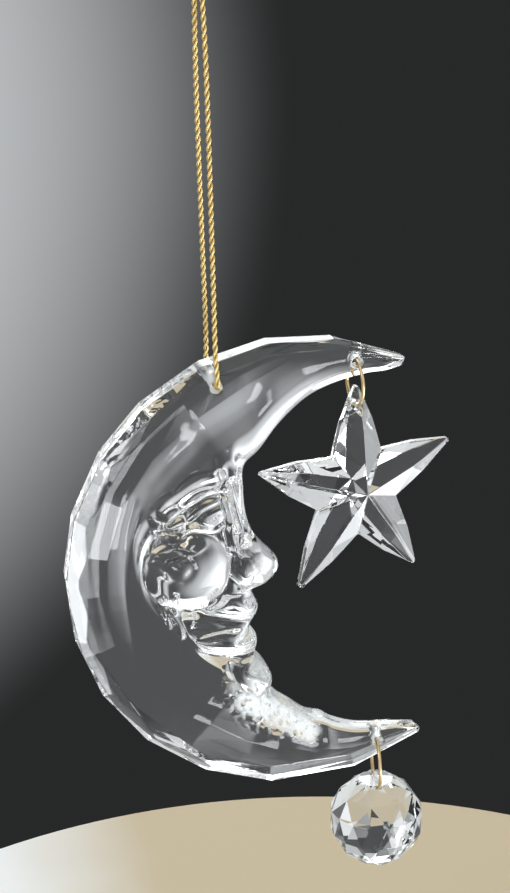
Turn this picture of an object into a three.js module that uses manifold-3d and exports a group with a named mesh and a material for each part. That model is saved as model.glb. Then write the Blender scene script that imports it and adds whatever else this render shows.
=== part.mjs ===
// A clear acrylic moon to hang up: a crescent with the man in the moon's face in relief,
// a faceted star hung from its upper horn and a faceted ball from its lower one, each on
// a wire ring, and a gold cord loop through a hole in the rim.
//
// Millimetres, +Z up. +X is to the right and +Y to the back, seen from the front.
// The origin is where the loop hangs, just under its knot, straight above the cord's hole.

import * as THREE from 'three';
import { ConvexGeometry } from 'three/addons/geometries/ConvexGeometry.js';
import { mergeVertices } from 'three/addons/utils/BufferGeometryUtils.js';
import Module from 'manifold-3d';

const wasm = await Module();
wasm.setup();

// The crescent's faceted rim: the angles of its corners round its centre, and its sizes
const RIM_RADIUS = 46.8;
const RIM_CORNERS = [62, 81, 97, 113.5, 130.5, 145.5, 162, 177, 193, 209, 226, 243.5, 261, 283, 302.5];
const GIRDLE_HALF = 2.4;
const BEVEL_WIDTH = 2;
const STAR_CUT_WIDTH = 1.4;
const TABLE_CUT_WIDTH = 3.8;
const BODY_HALF = 6.2;
const TIP_HALF = 1.5;
const FULL_WIDTH = 26;
const TAPER_POWER = 1.35;
const TIP_ROUND = 0.9;
const COVE_DEPTH = 1.1;
const COVE_WIDTH = 5.5;
const CREST_PLACE = 0.45;

// The cuts fade where the crescent narrows from body to horn: the two widths, the share of
// the cuts that a horn keeps, and the most of its thickness and width that its rim takes
const HORN_WIDTH = 13;
const BODY_WIDTH = 23;
const HORN_CUT_SHARE = 0.12;
const HORN_GIRDLE_SHARE = 0.55;
const HORN_BEVEL_SHARE = 0.3;
const FACE_FROM_SHARE = 0.3;

// The rounding of each face's inner edge, at angles of the rim that it lies across from: how
// far it reaches, and its power, where 2 is a quarter of an ellipse and more is squarer
const EDGE_ROUNDS = [
  { angle: 62, reach: 2, power: 2 },
  { angle: 80, reach: 3, power: 2 },
  { angle: 107, reach: 3.6, power: 2 },
  { angle: 136, reach: 4.6, power: 2 },
  { angle: 148, reach: 7.5, power: 2 },
  { angle: 160, reach: 8, power: 2 },
  { angle: 168, reach: 6.5, power: 2 },
  { angle: 178, reach: 4.8, power: 2 },
  { angle: 225, reach: 4, power: 2 },
  { angle: 238, reach: 3, power: 2.4 },
  { angle: 250, reach: 2, power: 3.2 },
  { angle: 285, reach: 1.3, power: 3.2 },
  { angle: 302.5, reach: 1, power: 2.4 },
];

// Each face falls towards the inner edge under the chin: the rim's angles between which that
// comes and goes, how near the edge it ends and starts, and how far it falls
const NECK_COMES = [240, 250];
const NECK_GOES = [266, 282];
const NECK_REACH = [2.4, 8.4];
const NECK_FALL = 2.6;

// How much of the rise from girdle to crest lies outside each cut's inner line, where the
// last two have one share in the horns and one in the body
const BEVEL_RISE = 0.62;
const STAR_CUT_RISE = { horn: 0.66, body: 0.86 };
const TABLE_CUT_RISE = { horn: 0.72, body: 1 };

// The inner outline of the horns: the rim's angle, and how deep the edge lies under the rim
const UPPER_HORN = [[62, 1.7], [65.5, 4.1], [70.5, 5.9], [78.5, 8.9], [87, 12], [97, 16.4], [107, 20.4]];
const LOWER_HORN = [
  [264, 17.7], [271.5, 14.5], [277, 13], [280, 11.3], [286, 8.8], [291.5, 7], [297, 5], [302.5, 1.7],
];

// The profile of the face: the rim's angle it faces, its distance right of the rim's leftmost
// point and its height over the rim's centre
const BROW = [[117, 35.9, 22.2], [124, 35.7, 17.6], [132, 36.1, 12.4], [139, 37.5, 8]];
const NOSE = [
  [146, 39.8, 4.9], [152, 41.8, 2.7], [158, 42.4, 0.9], [164, 41.9, -0.7], [170, 40.1, -2.3],
  [175, 38.4, -2.8], [181, 36.7, -3.3],
];
const LIPS = [
  [188, 37.3, -5.5], [194, 38, -7.3], [201, 37.2, -9.4], [208, 35.7, -11.5],
  [213, 36.9, -12.7], [219, 37.6, -14.3], [226, 37.2, -16.3], [232, 36.5, -17.7],
];
const CHIN = [
  [238, 38.5, -19.4], [243, 39.8, -21.4], [248, 40.5, -23.4], [252, 40.2, -25.5], [257, 41.5, -27.3],
];

// The face in relief: the lines that bound it, each as a direction and a distance from the
// rim's centre, and the height of its plain ground
const FACE_BOUNDS = [
  { angle: 225.7, distance: 26 },
  { angle: 119, distance: 25.9 },
  { angle: 180, distance: 33.4 },
];
const FACE_BOUND_ROUND = 2.5;
const FACE_STEP = 1.3;
const FACE_HALF = 5.4;

// Round forms of the face: place right of the rim's leftmost point, height, half sizes, turn, rise
const FACE_ROUNDS = {
  cheek: { x: 23.2, z: 3, rx: 8.6, rz: 7.6, turn: 0, rise: 2.3 },
  eyeball: { x: 27.4, z: 14.2, rx: 4.2, rz: 2.9, turn: 20, rise: 1.5 },
  eyeBag: { x: 21.3, z: 12.9, rx: 2.7, rz: 1.6, turn: 0, rise: 1 },
  brow: { x: 28.2, z: 23, rx: 5.2, rz: 2.1, turn: 12, rise: 1.1 },
  temple: { x: 20.6, z: 18.4, rx: 3.2, rz: 2.2, turn: 42, rise: 0.8 },
  noseTip: { x: 39, z: 2, rx: 3.6, rz: 3.4, turn: 0, rise: 1.2 },
  noseWing: { x: 34.9, z: 2, rx: 2.5, rz: 2.8, turn: 0, rise: 1.7 },
  upperLip: { x: 32.6, z: -5, rx: 5.4, rz: 2.2, turn: -6, rise: 1.3 },
  lowerLip: { x: 31.2, z: -12.4, rx: 6.6, rz: 2.4, turn: -4, rise: 1.5 },
  chinBall: { x: 36.2, z: -20.8, rx: 4.3, rz: 4.3, turn: 0, rise: 1.7 },
};

// Folds and lines of the face: their points, half width and rise, which is below zero in a groove
const FACE_LINES = {
  upperBrow: { points: [[18.1, 20.1], [22.9, 24.2], [27.5, 25.2], [31.4, 25.3]], width: 1, rise: 1 },
  lowerBrow: { points: [[19.6, 14.5], [23.4, 18.1], [27.1, 19.6], [31.2, 20]], width: 0.9, rise: 1.1 },
  upperLid: { points: [[20.1, 13.4], [23.8, 16.2], [26.5, 17.7], [31, 18]], width: 0.7, rise: -0.9 },
  lowerLid: {
    points: [[16.8, 12.5], [19, 10.6], [21.5, 10.4], [24.7, 12.1], [28.4, 11.2], [30.2, 12]],
    width: 0.7,
    rise: 0.8,
  },
  noseSide: { points: [[31.1, 24.2], [31.6, 18], [32.2, 11], [33.2, 5.5]], width: 0.8, rise: 0.9 },
  noseHollow: { points: [[33, 19.9], [33.8, 15], [34.9, 10]], width: 1.1, rise: -1.1 },
  nostril: { points: [[32.6, 5], [31.9, 1.6], [33.6, -1.4]], width: 0.8, rise: -1.2 },
  smileFold: { points: [[31.8, 0.3], [30.6, -2.4], [28.3, -4.6], [25.2, -6]], width: 0.8, rise: -1 },
  mouth: { points: [[22.6, -5.6], [26, -6.6], [31.9, -8.6], [36, -9.4]], width: 0.9, rise: -1.5 },
  underLip: { points: [[22.6, -14.2], [27, -15.6], [31.9, -16.6], [36, -16.2]], width: 0.9, rise: -1.3 },
  chinCrease: { points: [[31.2, -18], [31.6, -21.4], [34.2, -25]], width: 0.7, rise: -0.7 },
};
const LINE_STEPS = 12;
const ROUND_POWER = 0.7;

// How finely the crescent is divided: columns in a facet, rows inside the cuts, rows in a
// rounding, and the columns of a rounded tip as shares of its length
const FACET_COLUMNS = 5;
const INNER_ROWS = 15;
const ROUND_ROWS = 5;
const TIP_STEPS = [0, 0.06, 0.25, 0.55, 1];

// Holes through the crescent: the rim's angle, how deep under the rim's circle, and radius
const CORD_HOLE = { angle: 112.6, depth: 4.2, radius: 1.15 };
const STAR_HOLE = { angle: 74, depth: 3.9, radius: 1.15 };
const BALL_HOLE = { angle: 291.1, depth: 3.6, radius: 1.15 };
const COUNTERSINK = 0.18;
const HOLE_SIDES = 20;
const DRILL_PAST = 1;

// What moves in something else stays this far from it at its seat
const SEAT_GAP = 0.3;

// Points this near each other become one: in a new surface, and in one that is cut or joined
const MERGE_WITHIN = 1e-3;
const WELD_WITHIN = 1e-5;

// The wire rings
const WIRE_RADIUS = 0.35;
const STAR_RING_RADIUS = 4.6;
const BALL_RING_RADIUS = 5.75;
const STAR_RING_TURN = 5.5;
const BALL_RING_TURN = -6;
const RING_SIDES = 8;
const RING_STEPS = 36;

// The star
const STAR_ARMS = 5;
const STAR_RADIUS = 22.4;
const STAR_NOTCH_RADIUS = 9.3;
const STAR_APEX = 4.6;
const STAR_SHOULDER = 3.3;
const STAR_SHOULDER_PLACE = 0.56;
const STAR_BULGE = 0.55;
const STAR_EDGE_HALF = 0.7;
const STAR_TIP_HALF_WIDTH = 0.35;
const HUNG_ARM_CUT = 1.1;
const STAR_HOLE_FROM_TIP = 3.9;
const STAR_HOLE_RADIUS = 1;
const STAR_TURN = 15.7;

// The ball: its rows of corners from the top down, each turned so many steps between corners
const BALL_RADIUS = 10;
const BALL_ROWS = [
  { latitude: 68, corners: 8, turned: 0 },
  { latitude: 40, corners: 8, turned: 0.5 },
  { latitude: 15, corners: 16, turned: 0 },
  { latitude: -12, corners: 16, turned: 0.5 },
  { latitude: -38, corners: 8, turned: 0.5 },
  { latitude: -62, corners: 8, turned: 0 },
  { latitude: -82, corners: 8, turned: 0 },
];
const BALL_RING_DEPTH = 1.85;

// The cord: the drop from where it hangs to its hole, and the front run's points from the
// knot to the moon, which the back run mirrors
const CORD_RADIUS = 0.525;
const CORD_DROP = 73;
const CORD_SIDES = 8;
const CORD_STEPS = 78;
const FRONT_RUN = [
  [0.62, -0.2, -0.5], [0.68, -0.8, -6], [0.62, -2, -14], [0.4, -3.5, -26], [0.1, -5, -40],
  [-0.2, -6.4, -54], [-0.42, -7.4, -65], [-0.3, -7.75, -70.2], [-0.1, -7.45, -71.7],
  [0, -6.65, -72.46], [0, -5.5, -72.73], [0, -2.8, -72.75],
];

// The knot over the loop's hanging point, and its two cut ends
const KNOT_RADIUS = 1.75;
const KNOT_HALF_HEIGHT = 1.9;
const KNOT_FULLNESS = 0.7;
const KNOT_STEPS = 8;
const KNOT_SIDES = 16;
const TAIL_LENGTH = 5;
const TAIL_LEAN = 24;

const { degToRad, lerp, smoothstep, clamp } = THREE.MathUtils;

const ACRYLIC = { color: 0xe9eef0, roughness: 0.05, metalness: 0 };
const CUT_ACRYLIC = { color: 0xf3f1ea, roughness: 0.05, metalness: 0 };
const BRASS_WIRE = { color: 0xb8924a, roughness: 0.3, metalness: 1 };
const GOLD_THREAD = { color: 0xc98f2e, roughness: 0.4, metalness: 0.7 };

// A point in the crescent's plane, as right and up, from its angle and radius
function polar(radius, degrees) {
  const angle = degToRad(degrees);
  return [radius * Math.cos(angle), radius * Math.sin(angle)];
}

// One quarter of a Catmull-Rom curve's cubic, between its two middle values
function catmullRom(before, from, to, after, share) {
  const slopeIn = (to - before) / 2;
  const slopeOut = (after - from) / 2;
  const cube = (2 * from - 2 * to + slopeIn + slopeOut) * share ** 3;
  const square = (-3 * from + 3 * to - 2 * slopeIn - slopeOut) * share ** 2;
  return cube + square + slopeIn * share + from;
}

// A curve through points, at a place counted in points
function curveAt(points, place) {
  const first = Math.min(Math.floor(place), points.length - 2);
  const share = place - first;
  const at = (index) => points[clamp(index, 0, points.length - 1)];
  return [0, 1].map((axis) => catmullRom(
    at(first - 1)[axis], at(first)[axis], at(first + 1)[axis], at(first + 2)[axis], share,
  ));
}

// The whole inner outline, each point as the rim's angle it faces and its place
function innerOutline() {
  const horn = ([angle, depth]) => [angle, polar(RIM_RADIUS - depth, angle)];
  const face = ([angle, right, up]) => [angle, [right - RIM_RADIUS, up]];
  return [
    ...UPPER_HORN.map(horn),
    ...[BROW, NOSE, LIPS, CHIN].flat().map(face),
    ...LOWER_HORN.map(horn),
  ];
}

const INNER = innerOutline();
const INNER_ANGLES = INNER.map(([angle]) => angle);
const INNER_PLACES = INNER.map(([, place]) => place);

// Where the inner edge lies, across from one angle of the rim
function innerPoint(angle) {
  let step = 0;
  while (step < INNER_ANGLES.length - 2 && angle > INNER_ANGLES[step + 1]) step += 1;
  const share = (angle - INNER_ANGLES[step]) / (INNER_ANGLES[step + 1] - INNER_ANGLES[step]);
  return curveAt(INNER_PLACES, step + clamp(share, 0, 1));
}

// The crescent's width across from one angle of the rim
function widthAt(angle) {
  const [right, up] = innerPoint(angle);
  const [outRight, outUp] = polar(RIM_RADIUS, angle);
  return Math.hypot(right - outRight, up - outUp);
}

// Half the crescent's thickness, which falls with its width towards the tips
function halfAt(angle) {
  return lerp(TIP_HALF, BODY_HALF, Math.min(widthAt(angle) / FULL_WIDTH, 1) ** TAPER_POWER);
}

// How much of the body's cuts an angle has: all in the body, nearly none in the horns
function cutShare(angle) {
  return lerp(HORN_CUT_SHARE, 1, smoothstep(widthAt(angle), HORN_WIDTH, BODY_WIDTH));
}

function girdleHalf(angle) {
  return Math.min(GIRDLE_HALF, HORN_GIRDLE_SHARE * halfAt(angle));
}

function bevelWidth(angle) {
  return Math.min(BEVEL_WIDTH, HORN_BEVEL_SHARE * widthAt(angle));
}

const riseShare = ({ horn, body }, angle) => lerp(horn, body, cutShare(angle));

// The corners of the four lines that the flat cuts run between, from the rim inwards, each
// as an angle, a radius and a half thickness
function cutLines() {
  const ends = [RIM_CORNERS[0], RIM_CORNERS.at(-1)];
  const middles = RIM_CORNERS.slice(1).map((angle, index) => (angle + RIM_CORNERS[index]) / 2);
  const staggered = [ends[0], ...middles, ends[1]];
  const between = (angle, share) => lerp(girdleHalf(angle), halfAt(angle), share);
  const girdle = RIM_CORNERS.map((angle) => [angle, RIM_RADIUS, girdleHalf(angle)]);
  const bevel = RIM_CORNERS.map((angle) => (
    [angle, RIM_RADIUS - bevelWidth(angle), between(angle, BEVEL_RISE)]
  ));
  const starCut = staggered.map((angle) => {
    const inwards = bevelWidth(angle) + STAR_CUT_WIDTH * cutShare(angle);
    return [angle, RIM_RADIUS - inwards, between(angle, riseShare(STAR_CUT_RISE, angle))];
  });
  const tableCut = staggered.map((angle) => {
    const inwards = bevelWidth(angle) + (STAR_CUT_WIDTH + TABLE_CUT_WIDTH) * cutShare(angle);
    return [angle, RIM_RADIUS - inwards, between(angle, riseShare(TABLE_CUT_RISE, angle))];
  });
  return [girdle, bevel, starCut, tableCut];
}

// The point of a line of straight chords at one angle, as right, up and half thickness
function chordPoint(corners, angle) {
  let step = 0;
  while (step < corners.length - 2 && angle > corners[step + 1][0]) step += 1;
  const [fromAngle, fromRadius, fromHalf] = corners[step];
  const [toAngle, toRadius, toHalf] = corners[step + 1];
  const near = fromRadius * Math.sin(degToRad(angle - fromAngle));
  const far = toRadius * Math.sin(degToRad(toAngle - angle));
  const share = near / (near + far);
  const [fromRight, fromUp] = polar(fromRadius, fromAngle);
  const [toRight, toUp] = polar(toRadius, toAngle);
  return [lerp(fromRight, toRight, share), lerp(fromUp, toUp, share), lerp(fromHalf, toHalf, share)];
}

// How far a place lies outside the face's ground, with its bounds' corners rounded
function outsideFace(right, up) {
  const sum = FACE_BOUNDS.reduce((total, { angle, distance }) => {
    const [along, over] = polar(1, angle);
    return total + Math.exp((right * along + up * over - distance) / FACE_BOUND_ROUND);
  }, 0);
  return FACE_BOUND_ROUND * Math.log(sum);
}

// The rise of a round form of the face at a place
function roundRise({ x, z, rx, rz, turn, rise }, right, up) {
  const [cosine, sine] = polar(1, turn);
  const across = (right - x) * cosine + (up - z) * sine;
  const over = (up - z) * cosine - (right - x) * sine;
  const inside = 1 - (across / rx) ** 2 - (over / rz) ** 2;
  return inside > 0 ? rise * inside ** ROUND_POWER : 0;
}

// A face line's points, made closer by the curve through them
function linePoints({ points }) {
  const stride = (points.length - 1) / LINE_STEPS;
  return Array.from({ length: LINE_STEPS + 1 }, (_, step) => curveAt(points, step * stride));
}

const LINES = Object.values(FACE_LINES).map((line) => ({ ...line, path: linePoints(line) }));

// The distance from a place to a path of short straight steps
function distanceTo(path, right, up) {
  let least = Infinity;
  for (let step = 1; step < path.length; step += 1) {
    const [fromRight, fromUp] = path[step - 1];
    const along = path[step][0] - fromRight;
    const over = path[step][1] - fromUp;
    const reach = ((right - fromRight) * along + (up - fromUp) * over) / (along ** 2 + over ** 2);
    const share = clamp(reach, 0, 1);
    least = Math.min(least, Math.hypot(right - fromRight - along * share, up - fromUp - over * share));
  }
  return least;
}

// The face's half thickness at a place, with its round forms and its lines
function faceHalf(right, up) {
  const fromLeft = right + RIM_RADIUS;
  const rounds = Object.values(FACE_ROUNDS).map((form) => roundRise(form, fromLeft, up));
  const lines = LINES.map(({ path, width, rise }) => (
    rise * Math.exp(-((distanceTo(path, fromLeft, up) / width) ** 2))
  ));
  return FACE_HALF + Math.max(...rounds) + lines.reduce((total, rise) => total + rise, 0);
}

// How much of the neck's fall a place has, from its angle and its distance to the inner edge
function neckShare(angle, toEdge) {
  const along = smoothstep(angle, ...NECK_COMES) * (1 - smoothstep(angle, ...NECK_GOES));
  return along * (1 - smoothstep(toEdge, ...NECK_REACH));
}

// The inner edge's rounding across from one angle of the rim
function edgeRound(angle) {
  let step = 0;
  while (step < EDGE_ROUNDS.length - 2 && angle > EDGE_ROUNDS[step + 1].angle) step += 1;
  const [from, to] = EDGE_ROUNDS.slice(step, step + 2);
  const share = clamp((angle - from.angle) / (to.angle - from.angle), 0, 1);
  return { reach: lerp(from.reach, to.reach, share), power: lerp(from.power, to.power, share) };
}

// The crescent's half thickness inside its cuts: a cove and the face in the body, and one
// plain swell in the horns
function innerHalf(angle, start, place, inwards, length) {
  const crest = halfAt(angle);
  const swell = Math.sin(Math.min(inwards / (CREST_PLACE * length), 1) * Math.PI / 2);
  const horn = lerp(start, crest, swell);
  const cove = start - COVE_DEPTH * smoothstep(inwards, 0, COVE_WIDTH);
  const face = smoothstep(-outsideFace(...place), 0, FACE_STEP);
  const body = lerp(cove, faceHalf(...place), face);
  const plain = lerp(horn, body, smoothstep(cutShare(angle), FACE_FROM_SHARE, 1));
  return plain - NECK_FALL * neckShare(angle, length - inwards) * smoothstep(inwards, 0, COVE_WIDTH);
}

// One column of the front's surface, from the girdle to the inner edge, as right, up, half
function crescentColumn(lines, angle) {
  const cuts = lines.map((line) => chordPoint(line, angle));
  const [startRight, startUp, start] = cuts.at(-1);
  const inner = innerPoint(angle);
  const length = Math.hypot(inner[0] - startRight, inner[1] - startUp);
  const { reach, power } = edgeRound(angle);
  const round = Math.min(reach, length / 2);
  const at = (inwards) => {
    const place = [lerp(startRight, inner[0], inwards / length), lerp(startUp, inner[1], inwards / length)];
    return [...place, innerHalf(angle, start, place, inwards, length)];
  };
  const rows = [];
  for (let row = 1; row <= INNER_ROWS; row += 1) rows.push(at((length - round) * row / INNER_ROWS));
  for (let row = 1; row <= ROUND_ROWS; row += 1) {
    const turn = Math.PI / 2 * row / ROUND_ROWS;
    const [right, up, half] = at(length - round * (1 - Math.sin(turn) ** (2 / power)));
    rows.push([right, up, row === ROUND_ROWS ? 0 : half * Math.cos(turn) ** (2 / power)]);
  }
  return roundedAtTip([...cuts, ...rows], angle);
}

// A column near a tip drawn in towards its own middle, so that the tip ends round
function roundedAtTip(column, angle) {
  const fromEnd = Math.min(angle - RIM_CORNERS[0], RIM_CORNERS.at(-1) - angle);
  const share = clamp(degToRad(fromEnd) * RIM_RADIUS / TIP_ROUND, 0, 1);
  const draw = Math.sqrt(1 - (1 - share) ** 2);
  const middle = [0, 1].map((axis) => (column[0][axis] + column.at(-1)[axis]) / 2);
  return column.map(([right, up, half]) => [
    lerp(middle[0], right, draw), lerp(middle[1], up, draw), half * draw,
  ]);
}

// The angles of all columns: even steps in each facet, and closer ones in the rounded tips
function columnAngles() {
  const round = TIP_ROUND / degToRad(RIM_RADIUS);
  const closer = TIP_STEPS.map((share) => share * round);
  const shares = Array.from({ length: FACET_COLUMNS }, (_, step) => step / FACET_COLUMNS);
  const steps = RIM_CORNERS.slice(1).flatMap((angle, index) => (
    shares.map((share) => lerp(RIM_CORNERS[index], angle, share))
  ));
  const starts = closer.map((angle) => RIM_CORNERS[0] + angle);
  const ends = closer.map((angle) => RIM_CORNERS.at(-1) - angle).reverse();
  return [...starts, ...steps.slice(1), ...ends];
}

// The triangles of a front or back face: straight cuts between their lines, fans where the
// lines' corners are staggered, and a grid inside
function faceTriangles(angles, index, last) {
  const triangles = [];
  const quad = (a, b, c, d) => triangles.push([a, b, c], [a, c, d]);
  for (let column = 1; column < angles.length; column += 1) {
    for (let row = 0; row < last; row += 1) {
      if (row === 1) continue;
      const near = column - 1;
      quad(index(near, row), index(column, row), index(column, row + 1), index(near, row + 1));
    }
  }
  const nearest = (angle) => angles.reduce((best, at, column) => (
    Math.abs(at - angle) < Math.abs(angles[best] - angle) ? column : best), 0);
  const corners = RIM_CORNERS.map(nearest);
  const middles = RIM_CORNERS.slice(1).map((angle, step) => nearest((angle + RIM_CORNERS[step]) / 2));
  const bases = [0, ...middles, angles.length - 1];
  corners.forEach((corner, step) => {
    for (let column = bases[step] + 1; column <= bases[step + 1]; column += 1) {
      triangles.push([index(corner, 1), index(column, 2), index(column - 1, 2)]);
    }
  });
  middles.forEach((middle, step) => {
    for (let column = corners[step] + 1; column <= corners[step + 1]; column += 1) {
      triangles.push([index(column - 1, 1), index(column, 1), index(middle, 2)]);
    }
  });
  return triangles;
}

// A closed geometry from points and triangles, with shared points merged
function closedGeometry(points, triangles) {
  const loose = new THREE.BufferGeometry();
  loose.setAttribute('position', new THREE.Float32BufferAttribute(points.flat(), 3));
  loose.setIndex(triangles.flat());
  const merged = mergeVertices(loose, MERGE_WITHIN);
  const index = Array.from(merged.index.array);
  const kept = [];
  for (let at = 0; at < index.length; at += 3) {
    const [a, b, c] = index.slice(at, at + 3);
    if (a !== b && b !== c && a !== c) kept.push(a, b, c);
  }
  merged.setIndex(kept);
  return merged;
}

// The crescent before its holes are drilled: a front face, its mirror image at the back,
// and the girdle between them
function crescentBlank() {
  const lines = cutLines();
  const angles = columnAngles();
  const columns = angles.map((angle) => crescentColumn(lines, angle));
  const rows = columns[0].length;
  const front = columns.flat().map(([right, up, half]) => [right, -half, up]);
  const back = columns.flat().map(([right, up, half]) => [right, half, up]);
  const frontIndex = (column, row) => column * rows + row;
  const backIndex = (column, row) => front.length + column * rows + row;
  const triangles = faceTriangles(angles, frontIndex, rows - 1);
  const mirrored = faceTriangles(angles, backIndex, rows - 1).map(([a, b, c]) => [a, c, b]);
  for (let column = 1; column < angles.length; column += 1) {
    triangles.push([frontIndex(column - 1, 0), backIndex(column - 1, 0), backIndex(column, 0)]);
    triangles.push([frontIndex(column - 1, 0), backIndex(column, 0), frontIndex(column, 0)]);
  }
  return closedGeometry([...front, ...back], [...triangles, ...mirrored]);
}

// The solid that manifold-3d cuts and joins, from a closed geometry
function toSolid(geometry) {
  const bare = geometry.clone();
  bare.deleteAttribute('normal');
  bare.deleteAttribute('uv');
  const merged = mergeVertices(bare, WELD_WITHIN);
  return new wasm.Manifold(new wasm.Mesh({
    numProp: 3,
    vertProperties: new Float32Array(merged.attributes.position.array),
    triVerts: new Uint32Array(merged.index.array),
  }));
}

function toGeometry(solid) {
  const mesh = solid.getMesh();
  const geometry = new THREE.BufferGeometry();
  geometry.setAttribute('position', new THREE.Float32BufferAttribute(mesh.vertProperties, 3));
  geometry.setIndex(Array.from(mesh.triVerts));
  return geometry;
}

// A drill along Y with a countersink at each face of what it goes through
function drill(radius, half, countersink) {
  const past = half + 2 * countersink + DRILL_PAST;
  const wide = radius + countersink + (past - half);
  const profile = [
    [0, -past], [wide, -past], [radius, -half + countersink],
    [radius, half - countersink], [wide, past], [0, past],
  ];
  const points = profile.map(([x, y]) => new THREE.Vector2(x, y));
  return new THREE.LatheGeometry(points, HOLE_SIDES);
}

// Half the crescent's thickness at one of its holes
function halfAtHole({ angle, depth }) {
  const lines = cutLines().map((line) => chordPoint(line, angle));
  const radius = RIM_RADIUS - depth;
  const outer = lines.findLastIndex(([right, up]) => Math.hypot(right, up) >= radius);
  if (outer === lines.length - 1) return halfAt(angle);
  const [outRadius, inRadius] = lines.slice(outer, outer + 2).map(([right, up]) => Math.hypot(right, up));
  return lerp(lines[outer][2], lines[outer + 1][2], (outRadius - radius) / (outRadius - inRadius));
}

const holePlace = ({ angle, depth }) => polar(RIM_RADIUS - depth, angle);

function moonGeometry() {
  let solid = toSolid(crescentBlank());
  for (const hole of [CORD_HOLE, STAR_HOLE, BALL_HOLE]) {
    const [right, up] = holePlace(hole);
    const cutter = drill(hole.radius, halfAtHole(hole), COUNTERSINK);
    cutter.translate(right, 0, up);
    solid = solid.subtract(toSolid(cutter));
  }
  return toGeometry(solid);
}

// Half the star's thickness on an arm's ridge, at a distance from the star's centre
function starRidge(distance, tip) {
  const shoulder = STAR_SHOULDER_PLACE * STAR_RADIUS;
  return lerp(STAR_SHOULDER, STAR_EDGE_HALF, (distance - shoulder) / (tip - shoulder));
}

// The star's tip distance on each arm; the hung arm, the first, is cut short
const starTip = (arm) => STAR_RADIUS - (arm === 0 ? HUNG_ARM_CUT : 0);

// Half of one arm's outline, from its tip to its notch, as distance along and across the arm
function armSide(arm) {
  const notch = polar(STAR_NOTCH_RADIUS, 180 / STAR_ARMS);
  const tip = [starTip(arm), STAR_TIP_HALF_WIDTH];
  const bulge = [(tip[0] + notch[0]) / 2, (tip[1] + notch[1]) / 2 + STAR_BULGE];
  return [tip, bulge, notch];
}

// The star as points and triangles: each side of each arm has three flat cuts on either
// face, and a narrow wall runs round the outline
function starBlank() {
  const points = [];
  const triangles = [];
  const add = (point) => points.push(point) - 1;
  for (let arm = 0; arm < STAR_ARMS; arm += 1) {
    const axis = 90 - arm * 360 / STAR_ARMS;
    for (const side of [-1, 1]) {
      for (const face of [-1, 1]) {
        const place = (along, across, half) => {
          const [cosine, sine] = polar(1, axis);
          const right = along * cosine + side * across * sine;
          const up = along * sine - side * across * cosine;
          return add([right, face * half, up]);
        };
        const apex = place(0, 0, STAR_APEX);
        const shoulder = place(STAR_SHOULDER_PLACE * STAR_RADIUS, 0, STAR_SHOULDER);
        const end = place(starTip(arm), 0, STAR_EDGE_HALF);
        const outline = (half) => armSide(arm).map(([along, across]) => place(along, across, half));
        const [tip, bulge, notch] = outline(STAR_EDGE_HALF);
        const [tipMiddle, bulgeMiddle, notchMiddle] = outline(0);
        const endMiddle = place(starTip(arm), 0, 0);
        const cuts = [
          [apex, shoulder, notch], [shoulder, bulge, notch], [shoulder, tip, bulge], [shoulder, end, tip],
          [notch, bulge, bulgeMiddle], [notch, bulgeMiddle, notchMiddle],
          [bulge, tip, tipMiddle], [bulge, tipMiddle, bulgeMiddle],
          [tip, end, endMiddle], [tip, endMiddle, tipMiddle],
        ];
        const flip = side * face < 0;
        triangles.push(...cuts.map(([a, b, c]) => (flip ? [a, c, b] : [a, b, c])));
      }
    }
  }
  return closedGeometry(points, triangles);
}

const STAR_HOLE_UP = starTip(0) - STAR_HOLE_FROM_TIP;
const STAR_HOLE_HALF = starRidge(STAR_HOLE_UP, starTip(0));

function starGeometry() {
  const cutter = drill(STAR_HOLE_RADIUS, STAR_HOLE_HALF, COUNTERSINK);
  cutter.translate(0, 0, STAR_HOLE_UP);
  return toGeometry(toSolid(starBlank()).subtract(toSolid(cutter)));
}

// How far a ring's top or bottom lies past the middle of the hole it is in, when the ring
// rests its gap away from the hole's mouths
function seatOffset(ringRadius, holeRadius, half) {
  const sag = ringRadius - Math.sqrt(ringRadius ** 2 - half ** 2);
  return sag + WIRE_RADIUS + SEAT_GAP - holeRadius;
}

function ringGeometry(ringRadius, wireRadius = WIRE_RADIUS) {
  const ring = new THREE.TorusGeometry(ringRadius, wireRadius, RING_SIDES, RING_STEPS);
  return ring.rotateY(Math.PI / 2);
}

// The ball's flat top, over its middle
const BALL_TOP = BALL_RADIUS * Math.sin(degToRad(BALL_ROWS[0].latitude));

// The ball, with a curved channel under its top for the ring; its middle is at zero
function ballGeometry() {
  const corners = BALL_ROWS.flatMap(({ latitude, corners: count, turned }) => (
    Array.from({ length: count }, (_, step) => {
      const [outwards, up] = polar(BALL_RADIUS, latitude);
      const [right, back] = polar(outwards, (step + turned) * 360 / count);
      return new THREE.Vector3(right, back, up);
    })
  ));
  const channel = ringGeometry(BALL_RING_RADIUS, WIRE_RADIUS + SEAT_GAP);
  channel.rotateZ(degToRad(BALL_RING_TURN));
  channel.translate(0, 0, BALL_TOP - BALL_RING_DEPTH + BALL_RING_RADIUS);
  return toGeometry(toSolid(new ConvexGeometry(corners)).subtract(toSolid(channel)));
}

// The cord: down in front from the knot, through the moon and up behind
function cordGeometry() {
  const front = FRONT_RUN.map(([x, y, z]) => new THREE.Vector3(x, y, z));
  const middle = new THREE.Vector3(0, 0, FRONT_RUN.at(-1)[2]);
  const back = FRONT_RUN.map(([x, y, z]) => new THREE.Vector3(-x, -y, z)).reverse();
  const path = new THREE.CatmullRomCurve3([...front, middle, ...back]);
  const section = new THREE.Shape(Array.from({ length: CORD_SIDES }, (_, side) => (
    new THREE.Vector2(...polar(CORD_RADIUS, side * 360 / CORD_SIDES))
  )));
  return new THREE.ExtrudeGeometry(section, { steps: CORD_STEPS, extrudePath: path });
}

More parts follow.
